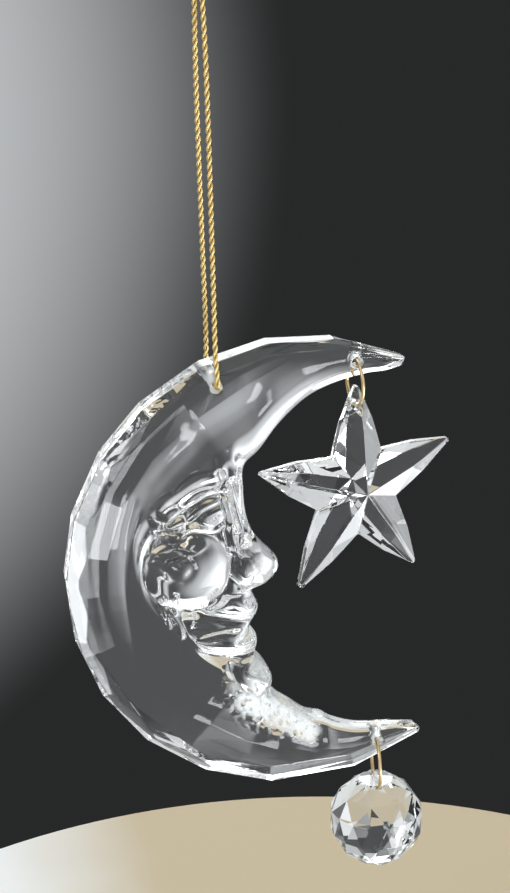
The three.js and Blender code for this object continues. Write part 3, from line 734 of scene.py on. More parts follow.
@dataclass
class Crescent:
    """The moon: flat cuts along the rim, a face in relief, smooth horns, three drilled holes.

    Angles are in degrees round the rim's centre, from the right and over the top.

    Attributes:
        rim_corners: the angles where the rim's straight sides meet, from tip to tip.
        girdle_half: half the width of the rim's flat band, from front to back.
        bevel_width: the width of the first row of cuts; those of the next two rows follow it.
        body_half: half the body's thickness, and tip_half that of the tips.
        full_width: the crescent's width from which it is at its full thickness.
        taper_power: the power with which it thins below that width.
        tip_round: the length over which a tip is rounded.
        edge_rounds: angle, size and power of the inner edge's rounding.
        neck_angles: the angles between which the neck's slope comes in, and between which it goes.
        neck_reach: the distances from the inner edge between which that slope fades out, and
            neck_fall its depth.
        cove_depth: the depth of the hollow inside the cuts, and cove_width its width.
        crest_place: where across a horn it is thickest.
        horn_width: the width below which the crescent is all horn; over body_width it is all body.
        horn_cut_share: the share of the cuts' widths that is left in the horns.
        horn_girdle_share: the most of a horn's thickness that the girdle takes, and
            horn_bevel_share the most of its width that the first cuts take.
        face_from_share: the share of the cuts' widths from which the body's forms come in.
        bevel_rise: the share of the way from girdle to full thickness that the first cuts rise;
            for the next two rows it is given for the horns and for the body.
        face_bound_round: how softly the face's bounds meet, and face_step its slope's width.
        face_half_thickness: half the thickness of the face's ground.
        round_power: the power that shapes the round forms.
        facet_columns: the columns in each side of the rim; tip_columns are those in each tip,
            and tip_clear how many tips long the way is that other columns keep off.
        inner_rows: the rows inside the cuts, and round_rows those round the inner edge.
        fold_steps: the straight pieces that each fold's curve is made of.
        edge_bevel: the rounding of the cuts' edges, full at body_width and nought at
            bevel_from_width; least_cut_angle is the least angle that counts as an edge.
        merge: the distance in metres under which points become one; shorter edges than
            least_edge are dissolved.
        wall_margin: how far round a hole its rough wall reaches.
        uneven_rim: how deep in from the rim its unevenness starts.
        unpolished_neck: the ends of the neck's unpolished strip, right from the rim's left and up.
        cord_drop: how far under the frame's origin the cord's hole is.
        upper_horn: angle and depth under the rim of the inner outline, as lower_horn.
        profile: angle of the inner outline along the face, with its right from the rim's left and up.
        bounds: the straight bounds of the face's ground.
        rounds: the face's round forms, and folds its ridges and grooves.
        body_folds: the soft lines outside the face.
        lump_path: where the surface is uneven, and lumps how.
    """

    rim_radius: float = 46.8
    rim_corners: tuple[float, ...] = (
        62, 81, 97, 113.5, 130.5, 145.5, 162, 177, 193, 209, 226, 243.5, 261, 283, 302.5,
    )
    girdle_half: float = 2.4
    bevel_width: float = 2.0
    star_cut_width: float = 1.4
    table_cut_width: float = 3.8
    body_half: float = 6.2
    tip_half: float = 1.5
    full_width: float = 26.0
    taper_power: float = 1.35
    tip_round: float = 0.9
    edge_rounds: tuple[tuple[float, float, float], ...] = (
        (62, 2, 2), (80, 3, 2), (107, 3.6, 2), (125, 4.2, 2), (136, 4.6, 2), (148, 7.5, 2), (160, 8, 2),
        (168, 6.5, 2), (178, 4.8, 2), (225, 4, 2), (238, 3, 2.4), (250, 2, 3.2), (262, 1.8, 3.4),
        (285, 1.3, 3.2), (302.5, 1, 2.4),
    )
    neck_angles: tuple[float, float, float, float] = (240, 250, 262, 277)
    neck_reach: tuple[float, float] = (2.4, 6.8)
    neck_fall: float = 3.5
    cove_depth: float = 0.3
    cove_width: float = 5.5
    crest_place: float = 0.45
    horn_width: float = 13.0
    body_width: float = 23.0
    horn_cut_share: float = 0.12
    horn_girdle_share: float = 0.55
    horn_bevel_share: float = 0.3
    face_from_share: float = 0.3
    bevel_rise: float = 0.62
    star_cut_rise: tuple[float, float] = (0.66, 0.86)
    table_cut_rise: tuple[float, float] = (0.72, 1.0)
    face_bound_round: float = 2.5
    face_step: float = 1.3
    face_half_thickness: float = 5.4
    round_power: float = 0.7
    facet_columns: int = 24
    tip_columns: int = 9
    tip_clear: float = 1.3
    inner_rows: int = 88
    round_rows: int = 12
    fold_steps: int = 16
    edge_bevel: float = 0.2
    bevel_from_width: float = 7.0
    least_cut_angle: float = 3.0
    merge: float = 2e-6
    least_edge: float = 1e-7
    cord_hole: Hole = Hole(112.6, 4.2, 1.15)
    star_hole: Hole = Hole(74, 3.9, 1.15)
    ball_hole: Hole = Hole(291.1, 3.6, 1.15)
    countersink: float = 0.18
    wall_margin: float = 0.03
    uneven_rim: float = 2.3
    unpolished_neck: tuple[tuple[float, float], ...] = ((34.0, -26.2), (47.6, -35.8))
    cord_drop: float = 73.0
    upper_horn: tuple[tuple[float, float], ...] = (
        (62, 1.7), (65.5, 4.1), (70.5, 5.9), (78.5, 8.9), (87, 12), (97, 16.4), (107, 20.4),
    )
    lower_horn: tuple[tuple[float, float], ...] = (
        (264, 17.7), (271.5, 14.5), (277, 13), (280, 11.3), (286, 8.8), (291.5, 7), (297, 5),
        (302.5, 1.7),
    )
    profile: tuple[tuple[float, float, float], ...] = (
        (117, 35.9, 22.2), (124, 35.7, 17.6), (132, 36.1, 12.4), (139, 37.5, 8),
        (146, 39.8, 4.9), (152, 41.8, 2.7), (158, 42.4, 0.9), (164, 41.9, -0.7), (170, 40.1, -2.3),
        (175, 38.4, -2.8), (181, 36.7, -3.3),
        (188, 37.3, -5.5), (194, 38, -7.3), (201, 37.2, -9.4), (208, 35.7, -11.5),
        (213, 36.9, -12.7), (219, 37.6, -14.3), (226, 37.2, -16.3), (232, 36.5, -17.7),
        (238, 38.5, -19.4), (243, 39.8, -21.4), (248, 40.5, -23.4), (252, 40.2, -25.5), (257, 41.5, -27.3),
    )
    bounds: tuple[FaceBound, ...] = (FaceBound(225.7, 26), FaceBound(119, 25.9), FaceBound(180, 33.4))
    rounds: dict[str, RoundForm] = field(default_factory=lambda: {
        "cheek": RoundForm(23.2, 3.0, 8.6, 7.6, 0, 2.28),
        "eyeball": RoundForm(27.4, 14.2, 4.2, 2.9, 20, 1.5),
        "eye_bag": RoundForm(21.3, 12.9, 2.7, 1.6, 0, 1.0),
        "brow": RoundForm(28.2, 23.0, 5.2, 2.1, 12, 1.1),
        "temple": RoundForm(20.6, 18.4, 3.2, 2.2, 42, 0.8),
        "nose_tip": RoundForm(39.0, 2.0, 3.6, 3.4, 0, 1.2),
        "nose_wing": RoundForm(34.9, 2.0, 2.5, 2.8, 0, 1.7),
        "upper_lip": RoundForm(32.6, -5.0, 5.4, 2.2, -6, 1.3),
        "lower_lip": RoundForm(31.2, -12.4, 6.6, 2.4, -4, 1.5),
        "chin_ball": RoundForm(36.2, -20.8, 4.3, 4.3, 0, 1.7),
    })
    folds: dict[str, Fold] = field(default_factory=lambda: {
        "upper_brow": Fold(((18.1, 20.1), (22.9, 24.2), (27.5, 25.2), (31.4, 25.3)), 1.0, 1.0),
        "lower_brow": Fold(((19.6, 14.5), (23.4, 18.1), (27.1, 19.6), (31.2, 20)), 0.9, 1.1),
        "brow_crease": Fold(((20.2, 21.2), (24.6, 22.4), (29.4, 22.6)), 0.6, -0.7),
        "upper_lid": Fold(((20.1, 13.4), (23.8, 16.2), (26.5, 17.7), (31, 18)), 0.6, -0.9),
        "lid_fold": Fold(((24.2, 12.9), (27.0, 15.2), (30.6, 16.4)), 0.5, -0.6),
        "lower_lid": Fold(((16.8, 12.5), (19, 10.6), (21.5, 10.4), (24.7, 12.1), (28.4, 11.2), (30.2, 12)),
                          0.6, 0.8),
        "eye_corner": Fold(((31.1, 17), (32.4, 13.6), (33.6, 10.4)), 0.6, 0.9),
        "nose_side": Fold(((31.1, 24.2), (31.6, 18), (32.2, 11), (33.2, 5.5)), 0.8, 0.9),
        "nose_hollow": Fold(((33, 19.9), (33.8, 15), (34.9, 10)), 1.1, -1.1),
        "nostril": Fold(((32.6, 5), (31.9, 1.6), (33.6, -1.4)), 0.8, -1.2),
        "smile_fold": Fold(((31.8, 0.3), (30.6, -2.4), (28.3, -4.6), (25.2, -6)), 0.8, -1.0),
        "mouth": Fold(((22.6, -5.6), (26, -6.6), (31.9, -8.6), (36, -9.4)), 0.9, -1.5),
        "mouth_corner": Fold(((19.7, -5.5), (21.2, -8.2), (21.6, -10.4)), 0.6, 0.6),
        "under_lip": Fold(((22.6, -14.2), (27, -15.6), (31.9, -16.6), (36, -16.2)), 0.9, -1.3),
        "chin_crease": Fold(((31.2, -18), (31.6, -21.4), (34.2, -25)), 0.7, -0.7),
        "jaw_fold": Fold(((18.2, -2), (19.2, -8.2)), 0.6, 0.5),
        "cheek_mark": Fold(((20.6, -1), (20.8, -5.4)), 0.45, 0.5),
        "cheek_swirl": Fold(((15.6, 6.2), (18.2, 8.2), (21.6, 8.9), (24.6, 7.7), (27, 8.7)), 0.6, 0.35),
        "cheek_curl": Fold(((18.2, 6.3), (19, 3.9), (22.3, 2.1), (24.2, 4.3), (22.5, 6.8)), 0.9, -0.3),
        "temple_fold": Fold(((13.2, 17.7), (15.2, 18.2), (16.6, 16.4), (18, 17), (19.9, 15.7)), 0.5, 0.4),
    })
    body_folds: dict[str, Fold] = field(default_factory=lambda: {
        "cove_line": Fold(((14.5, 16.5), (12.3, 9.7), (11.2, 2), (11.4, -5), (12.6, -15.3), (15.4, -22.6),
                           (19.6, -29)), 0.6, -0.1),
        "cove_swell": Fold(((17.5, 21.4), (21.2, 24.8), (24, 27.7)), 1.6, 0.1),
        "neck_roll": Fold(((33.6, -26.6), (40, -30.2), (46, -32.6)), 1.2, 0.5),
    })
    lump_path: Fold = Fold(((32.4, -25.6), (35.4, -29), (38.6, -31.8), (42.4, -34.4), (46, -35.8)), 1.9, 1.0)
    lumps: Lumps = Lumps(14, 1.0, 2.8, 0.04)

    def __post_init__(self) -> None:
        """Works out the inner outline's points and where the crescent's middle is."""
        horns = [
            [(angle, *polar(self.rim_radius - depth, angle)) for angle, depth in horn]
            for horn in (self.upper_horn, self.lower_horn)
        ]
        face = [(angle, right - self.rim_radius, up) for angle, right, up in self.profile]
        outline = np.array([*horns[0], *face, *horns[1]], float)
        self.inner_angles = outline[:, 0]
        self.inner_places = outline[:, 1:]
        right, up = self.hole_place(self.cord_hole)
        self.centre = np.array([-right, 0.0, -self.cord_drop - up])

    def hole_place(self, hole: Hole) -> Array:
        """A hole's place in the crescent's plane."""
        return polar(self.rim_radius - hole.depth, hole.angle)

    def inner_point(self, angle: Array) -> Array:
        """The inner edge across from each angle of the rim."""
        place = np.interp(angle, self.inner_angles, np.arange(len(self.inner_angles)))
        return through(self.inner_places, place)

    def width_at(self, angle: Array) -> Array:
        """The crescent's width across from each angle of the rim."""
        return np.linalg.norm(self.inner_point(angle) - polar(self.rim_radius, angle), axis=-1)

    def half_at(self, angle: Array) -> Array:
        """Half the thickness, which falls with a power of the width towards the tips."""
        share = np.minimum(self.width_at(angle) / self.full_width, 1) ** self.taper_power
        return mixed(self.tip_half, self.body_half, share)

    def cut_share(self, angle: Array) -> Array:
        """How much of the body's cuts each angle has, few of them in the horns."""
        in_body = smoothstep(self.width_at(angle), self.horn_width, self.body_width)
        return mixed(self.horn_cut_share, 1, in_body)

    def cut_lines(self) -> list[Array]:
        """The four lines that the flat cuts run between, from the rim inwards.

        Returns:
            For each line its corners, as rows of angle, radius and half thickness.
        """
        corners = np.array(self.rim_corners, float)
        staggered = np.array([corners[0], *(corners[1:] + corners[:-1]) / 2, corners[-1]])

        def line(angles: Array, depth: Array, rise: Array) -> Array:
            """A line's corners from their depth and their share of the rise."""
            girdle = np.minimum(self.girdle_half, self.horn_girdle_share * self.half_at(angles))
            return np.stack([angles, self.rim_radius - depth, mixed(girdle, self.half_at(angles), rise)], -1)

        def bevel(angles: Array) -> Array:
            """The bevel's width at each angle."""
            return np.minimum(self.bevel_width, self.horn_bevel_share * self.width_at(angles))

        share = self.cut_share(staggered)
        star_depth = bevel(staggered) + self.star_cut_width * share
        table_depth = star_depth + self.table_cut_width * share
        return [
            line(corners, np.zeros(len(corners)), np.zeros(len(corners))),
            line(corners, bevel(corners), np.full(len(corners), self.bevel_rise)),
            line(staggered, star_depth, mixed(*self.star_cut_rise, share)),
            line(staggered, table_depth, mixed(*self.table_cut_rise, share)),
        ]

    @staticmethod
    def on_chords(corners: Array, angle: Array) -> Array:
        """The points of a line of straight chords at some angles.

        The share along a chord comes from the two heights over the lines to its ends.

        Args:
            corners: the line's corners as rows of angle, radius and half thickness.
            angle: the angles.

        Returns:
            One row of right, up and half thickness for each angle.
        """
        step = np.clip(np.searchsorted(corners[:, 0], angle) - 1, 0, len(corners) - 2)
        start, end = corners[step], corners[step + 1]
        near = start[:, 1] * np.sin(np.radians(angle - start[:, 0]))
        far = end[:, 1] * np.sin(np.radians(end[:, 0] - angle))
        share = (near / (near + far))[:, None]
        flat = [np.column_stack([polar(row[:, 1], row[:, 0]), row[:, 2]]) for row in (start, end)]
        return mixed(flat[0], flat[1], share)

    def column_angles(self) -> Array:
        """The angles of all columns: even steps in each facet, closer ones in the tips."""
        corners = np.array(self.rim_corners, float)
        steps = np.arange(self.facet_columns) / self.facet_columns
        even = mixed(corners[:-1, None], corners[1:, None], steps).ravel()[1:]
        reach = np.degrees(self.tip_round / self.rim_radius)
        close = (1 - np.cos(np.linspace(0, np.pi / 2, self.tip_columns))) * reach
        clear = self.tip_clear * reach
        inside = even[(even > corners[0] + clear) & (even < corners[-1] - clear)]
        return np.concatenate([corners[0] + close, inside, (corners[-1] - close)[::-1]])

    def face_share(self, right: Array, up: Array) -> Array:
        """How far each place is onto the face's ground: its bounds' soft maximum, stepped."""
        outside = self.face_bound_round * np.log(sum(
            np.exp((right * math.cos(math.radians(bound.angle)) + up * math.sin(math.radians(bound.angle))
                    - bound.distance) / self.face_bound_round)
            for bound in self.bounds
        ))
        return smoothstep(-outside, 0, self.face_step)

    def round_rise(self, form: RoundForm, right: Array, up: Array) -> Array:
        """The rise of a round form: its rise times a power of one minus the squared distance."""
        cosine, sine = polar(1.0, form.turn)
        across = (right - form.x) * cosine + (up - form.z) * sine
        over = (up - form.z) * cosine - (right - form.x) * sine
        inside = np.clip(1 - (across / form.rx) ** 2 - (over / form.rz) ** 2, 0, 1)
        return form.rise * inside ** self.round_power

    def fold_rise(self, fold: Fold, right: Array, up: Array) -> Array:
        """The rise of a fold: a bell over the distance to the curve through its points."""
        points = np.array(fold.points, float)
        path = through(points, np.linspace(0, len(points) - 1, self.fold_steps + 1))
        least = np.full(right.shape, np.inf)
        for start, end in pairwise(path):
            along = end - start
            from_start, over_start = right - start[0], up - start[1]
            share = np.clip((from_start * along[0] + over_start * along[1]) / (along @ along), 0, 1)
            least = np.minimum(least, np.hypot(from_start - along[0] * share, over_start - along[1] * share))
        return fold.rise * np.exp(-((least / fold.width) ** 2))

    def face_half(self, right: Array, up: Array) -> Array:
        """The face's half thickness: its ground, its highest round form and all its folds."""
        from_left = right + self.rim_radius
        forms = np.max([self.round_rise(form, from_left, up) for form in self.rounds.values()], axis=0)
        folds = sum(self.fold_rise(fold, from_left, up) for fold in self.folds.values())
        return self.face_half_thickness + forms + folds

    def body_rise(self, right: Array, up: Array) -> Array:
        """The body's own soft lines, and the lumps along the neck."""
        from_left = right + self.rim_radius
        lines = sum(self.fold_rise(fold, from_left, up) for fold in self.body_folds.values())
        return lines + self.fold_rise(self.lump_path, from_left, up) * self.lumps.rise(right, up)

    def inner_half(self, angle: Array, start: Array, right: Array, up: Array, inwards: Array,
                   length: Array) -> Array:
        """Half the thickness inside the cuts: cove and face in the body, one swell in the horns.

        Args:
            angle: each column's angle.
            start: each column's half thickness where the cuts end.
            right: the places to the right.
            up: the places upwards.
            inwards: each place's distance from the cuts.
            length: each column's whole length inside the cuts.

        Returns:
            The half thickness at each place.
        """
        swell = np.sin(np.minimum(inwards / (self.crest_place * length), 1) * np.pi / 2)
        horn = mixed(start, self.half_at(angle), swell)
        cove = start - self.cove_depth * smoothstep(inwards, 0, self.cove_width)
        body = mixed(cove, self.face_half(right, up), self.face_share(right, up))
        share = smoothstep(self.cut_share(angle), self.face_from_share, 1)
        rise_from, rise_to, fall_from, fall_to = self.neck_angles
        neck = smoothstep(angle, rise_from, rise_to) * (1 - smoothstep(angle, fall_from, fall_to))
        slope = neck * (1 - smoothstep(length - inwards, *self.neck_reach))
        extra = self.body_rise(right, up) - self.neck_fall * slope
        return mixed(horn, body, share) + extra * smoothstep(inwards, 0, self.cove_width)

    def inner_grid(self, angles: Array, cuts: Array) -> Array:
        """The surface inside the cuts, a function of the rim's angle and the way inwards.

        Args:
            angles: each column's angle.
            cuts: the last cut line's points, as rows of right, up and half thickness.

        Returns:
            Right, up and half thickness for each column and row.
        """
        edge = self.inner_point(angles)
        start = cuts[:, None, 2]
        length = np.linalg.norm(edge - cuts[:, :2], axis=1)[:, None]
        at, sizes, powers = np.transpose(self.edge_rounds)
        rounding = np.minimum(np.interp(angles, at, sizes)[:, None], length / 2)
        power = 2 / np.interp(angles, at, powers)[:, None]
        rows = np.arange(self.inner_rows + 1) / self.inner_rows
        turn = np.pi / 2 * np.arange(1, self.round_rows + 1) / self.round_rows
        inwards = np.hstack([(length - rounding) * rows, length - rounding * (1 - np.sin(turn) ** power)])
        place = mixed(cuts[:, None, :2], edge[:, None, :], (inwards / length)[..., None])
        half = self.inner_half(angles[:, None], start, place[..., 0], place[..., 1], inwards, length)
        half[:, 0] = cuts[:, 2]
        falling = np.cos(turn) ** power
        falling[:, -1] = 0
        half *= np.hstack([np.ones((len(angles), self.inner_rows + 1)), falling])
        return np.concatenate([place, half[..., None]], -1)

    def drawn_to_tip(self, columns: Array, angles: Array) -> Array:
        """Columns near a tip drawn in towards their own middle, on a quarter circle.

        Args:
            columns: right, up and half thickness for each column and row.
            angles: each column's angle.

        Returns:
            The same columns, drawn in.
        """
        from_end = np.minimum(angles - self.rim_corners[0], self.rim_corners[-1] - angles)
        share = np.clip(np.radians(from_end) * self.rim_radius / self.tip_round, 0, 1)
        draw = np.sqrt(1 - (1 - share) ** 2)[:, None]
        middle = (columns[:, :1, :2] + columns[:, -1:, :2]) / 2
        return np.concatenate([
            mixed(middle, columns[..., :2], draw[..., None]), (columns[..., 2] * draw)[..., None],
        ], -1)

    def cut_faces(self, angles: Array,
                  number: Callable[[int, int], int]) -> tuple[list[list[int]], list[int]]:
        """The flat cuts of one side, with no more corners than each needs.

        Args:
            angles: each column's angle.
            number: gives a vertex's number from its column and line.

        Returns:
            The vertex numbers of each face, and the columns that the rim's own line uses.
        """
        corners = np.array(self.rim_corners, float)
        nearest, middles = ([int(np.abs(angles - angle).argmin()) for angle in at]
                            for at in (corners, (corners[1:] + corners[:-1]) / 2))
        last = len(angles) - 1
        reach = np.degrees(self.tip_round / self.rim_radius) + ANGLE_SLACK
        tips = [column for column in range(last + 1)
                if min(angles[column] - angles[0], angles[-1] - angles[column]) <= reach]
        outer = sorted({*tips, *nearest})
        inner = sorted({*tips, *middles})
        faces = [[number(a, 0), number(b, 0), number(b, 1), number(a, 1)] for a, b in pairwise(outer)]
        bases = [0, *middles, last]
        for corner, low, high in zip(nearest, bases[:-1], bases[1:]):
            span = [column for column in inner if low <= column <= high]
            faces += [[number(corner, 1), number(b, 2), number(a, 2)] for a, b in pairwise(span)]
        for middle, low, high in zip(middles, nearest[:-1], nearest[1:]):
            span = [column for column in outer if low <= column <= high]
            faces += [[number(a, 1), number(b, 1), number(middle, 2)] for a, b in pairwise(span)]
        faces += [[number(a, 2), number(b, 2), *(number(column, 3) for column in range(b, a - 1, -1))]
                  for a, b in pairwise(inner)]
        return faces, outer

    def blank(self) -> bpy.types.Object:
        """The crescent before its holes: both sides with their cuts, and the girdle between.

        Returns:
            The object, whose flat cuts' edges carry bevel weights.
        """
        angles = self.column_angles()
        lines = np.stack([self.on_chords(line, angles) for line in self.cut_lines()], axis=1)
        grid = self.inner_grid(angles, lines[:, 3])
        columns = self.drawn_to_tip(np.concatenate([lines[:, :3], grid], axis=1), angles)
        count, rows = columns.shape[:2]
        side = count * rows
        flat = columns.reshape(-1, 3)
        points = np.concatenate([
            np.stack([flat[:, 0], sign * flat[:, 2], flat[:, 1]], -1) for sign in (-1, 1)
        ])
        faces: list[list[int]] = []
        smooth: list[bool] = []
        inside = grid_faces(count, rows).reshape(count - 1, rows - 1, 4)[:, 3:].reshape(-1, 4)
        for start in (0, side):
            def number(column: int, row: int, start: int = start) -> int:
                """A vertex's number on this side."""
                return start + column * rows + row
            cuts, outer = self.cut_faces(angles, number)
            faces += cuts + (inside + start).tolist()
            smooth += [False] * len(cuts) + [True] * len(inside)
        girdle = [[a * rows, b * rows, side + b * rows, side + a * rows] for a, b in pairwise(outer)]
        faces += girdle
        smooth += [False] * len(girdle)
        mesh = self.cleaned(mesh_of("clear_moon", placed(points, self.centre), faces, np.array(smooth)))
        return linked("clear_moon", mesh)

    def cleaned(self, mesh: bpy.types.Mesh) -> bpy.types.Mesh:
        """Merges doubles, drops loose points and weighs the cuts' edges for their bevel.

        Args:
            mesh: the blank's mesh.

        Returns:
            The same mesh.
        """
        with editing(mesh) as work:
            loose = [vert for vert in work.verts if not vert.link_faces]
            bmesh.ops.delete(work, geom=loose, context="VERTS")
            bmesh.ops.remove_doubles(work, verts=work.verts, dist=self.merge)
            bmesh.ops.dissolve_degenerate(work, edges=work.edges, dist=self.least_edge)
            bmesh.ops.recalc_face_normals(work, faces=work.faces)
            weight = work.edges.layers.float.new("bevel_weight_edge")
            for edge in filter(self.is_cut_edge, work.edges):
                middle = (edge.verts[0].co + edge.verts[1].co) / 2 / MM - Vector(self.centre)
                edge[weight] = self.bevel_weight(math.degrees(math.atan2(middle.z, middle.x)) % 360)
        return mesh

    def is_cut_edge(self, edge: bmesh.types.BMEdge) -> bool:
        """Whether an edge lies between two flat faces that meet at an angle."""
        return (len(edge.link_faces) == 2 and not any(face.smooth for face in edge.link_faces)
                and edge.calc_face_angle(0.0) > math.radians(self.least_cut_angle))

    def bevel_weight(self, angle: float) -> float:
        """The share of the edge bevel that the cuts' edges get, none of it at the tips."""
        width = self.width_at(np.array([angle]))
        return float(smoothstep(width, self.bevel_from_width, self.body_width)[0])

    def half_at_hole(self, hole: Hole) -> float:
        """Half the thickness where a hole's axis goes through."""
        lines = [self.on_chords(line, np.array([hole.angle], float))[0] for line in self.cut_lines()]
        radii = [math.hypot(right, up) for right, up, _ in lines]
        halves = [half for _, _, half in lines]
        radius = self.rim_radius - hole.depth
        if radius < radii[-1]:
            return float(self.half_at(np.array([hole.angle]))[0])
        return float(np.interp(-radius, [-value for value in radii], halves))

    def ring_middle(self, ring: "WireRing", hole: Hole) -> Array:
        """The middle of a ring that hangs in a hole."""
        right, up = self.hole_place(hole)
        drop = ring.seat(hole.radius, self.half_at_hole(hole)) - ring.radius
        return self.at(right, up + drop)

    def at(self, right: float, up: float) -> Array:
        """A place in the crescent's plane, in the model's frame and millimetres."""
        return self.centre + np.array([right, 0, up])

    def finish(self) -> Acrylic:
        """The moon's acrylic: rough drilled walls, an unpolished neck and an uneven rim."""
        middle = self.centre[[0, 2]]
        walls = [(*((self.hole_place(hole) + middle) * MM).tolist(), (hole.radius + self.wall_margin) * MM)
                 for hole in (self.cord_hole, self.star_hole, self.ball_hole)]
        neck = [tuple((self.at(right - self.rim_radius, up) * MM).tolist())
                for right, up in self.unpolished_neck]
        rim = (*(middle * MM).tolist(), (self.rim_radius - self.uneven_rim) * MM)
        return Acrylic("clear_acrylic", drilled=tuple(walls), unpolished=tuple(neck), sparkling=rim)

    def build(self) -> None:
        """Makes the moon."""
        moon = self.blank()
        bevelled(moon, self.edge_bevel, by_weight=True)
        holes = {"cord_drill": self.cord_hole, "star_drill": self.star_hole, "ball_drill": self.ball_hole}
        cut_by(moon, [drill(name, hole.radius, self.half_at_hole(hole), self.countersink,
                            self.at(*self.hole_place(hole))) for name, hole in holes.items()])
        dressed(moon, self.finish().material(), Slot.CLEAR_ACRYLIC, "crescent", "moon")


def dressed(obj: bpy.types.Object, material: bpy.types.Material, slot: Slot, body: str,
            *nodes: str) -> bpy.types.Object:
    """Gives a piece its finish and its body, and hides the model's nodes that it stands for.

    Args:
        obj: the piece.
        material: its finish.
        slot: the material slot that the finish belongs to; not used.
        body: the body that the piece rides on.
        nodes: the nodes that it replaces.

    Returns:
        The same piece.
    """
    obj.data.materials.clear()
    obj.data.materials.append(material)
    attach(obj, body)
    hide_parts(*nodes)
    log.info("%s: %d faces on %s", obj.name, len(obj.data.polygons), body)
    return obj


# What hangs from the crescent


@dataclass
class WireRing:
    """A bent wire ring, round in section, with its two ends butted together.

    Attributes:
        name: the piece's name.
        body: the body it rides on.
        node: the node it replaces.
        radius: from the ring's middle to the middle of its wire.
        turn: its turn about the upright through its middle, in degrees.
        joint_at: where round the ring the butted ends meet, in degrees from its top.
        end_width: the wire's share of its width at its rounded ends.
        end_step: how much of the rest each step from an end adds.
    """

    name: str
    body: str
    node: str
    radius: float
    turn: float
    joint_at: float
    wire_radius: float = 0.35
    joint_gap: float = 0.02
    end_width: float = 0.82
    end_step: float = 0.09
    steps: int = 120
    sides: int = 20
    seat_gap: float = 0.3

    def seat(self, hole_radius: float, half: float) -> float:
        """How far the ring's end lies past the middle of a hole that it rests in."""
        sag = self.radius - math.sqrt(self.radius ** 2 - half ** 2)
        return sag + self.wire_radius + self.seat_gap - hole_radius

    def swept(self, along: Array, wire: Array | float, sides: int) -> Array:
        """A small circle carried round the ring.

        Args:
            along: a column of angles round the ring, from its top.
            wire: the small circle's radius, for all or a column of them.
            sides: the number of steps round the small circle.

        Returns:
            One row for each point, from the ring's middle.
        """
        section = full_turn(sides)
        out = self.radius + wire * np.cos(section)
        return swung(wire * np.sin(section), out * np.sin(along), out * np.cos(along), self.turn)

    def build(self, centre: Array, material: bpy.types.Material) -> None:
        """Makes the ring from one butted end round to the other.

        Args:
            centre: the ring's middle in millimetres.
            material: its finish.
        """
        short = self.joint_gap / self.radius / 2
        start = math.radians(self.joint_at)
        along = (start + np.linspace(short, 2 * np.pi - short, self.steps))[:, None]
        from_end = np.minimum(np.arange(self.steps), np.arange(self.steps)[::-1])
        wire = self.wire_radius * np.minimum(1, self.end_width + from_end * self.end_step)[:, None]
        points = placed(self.swept(along, wire, self.sides), centre)
        mesh = mesh_of(self.name, points, *tube_faces(self.steps, self.sides), merge=NO_GAP)
        dressed(linked(self.name, mesh), material, Slot.BRASS_WIRE, self.body, self.node)


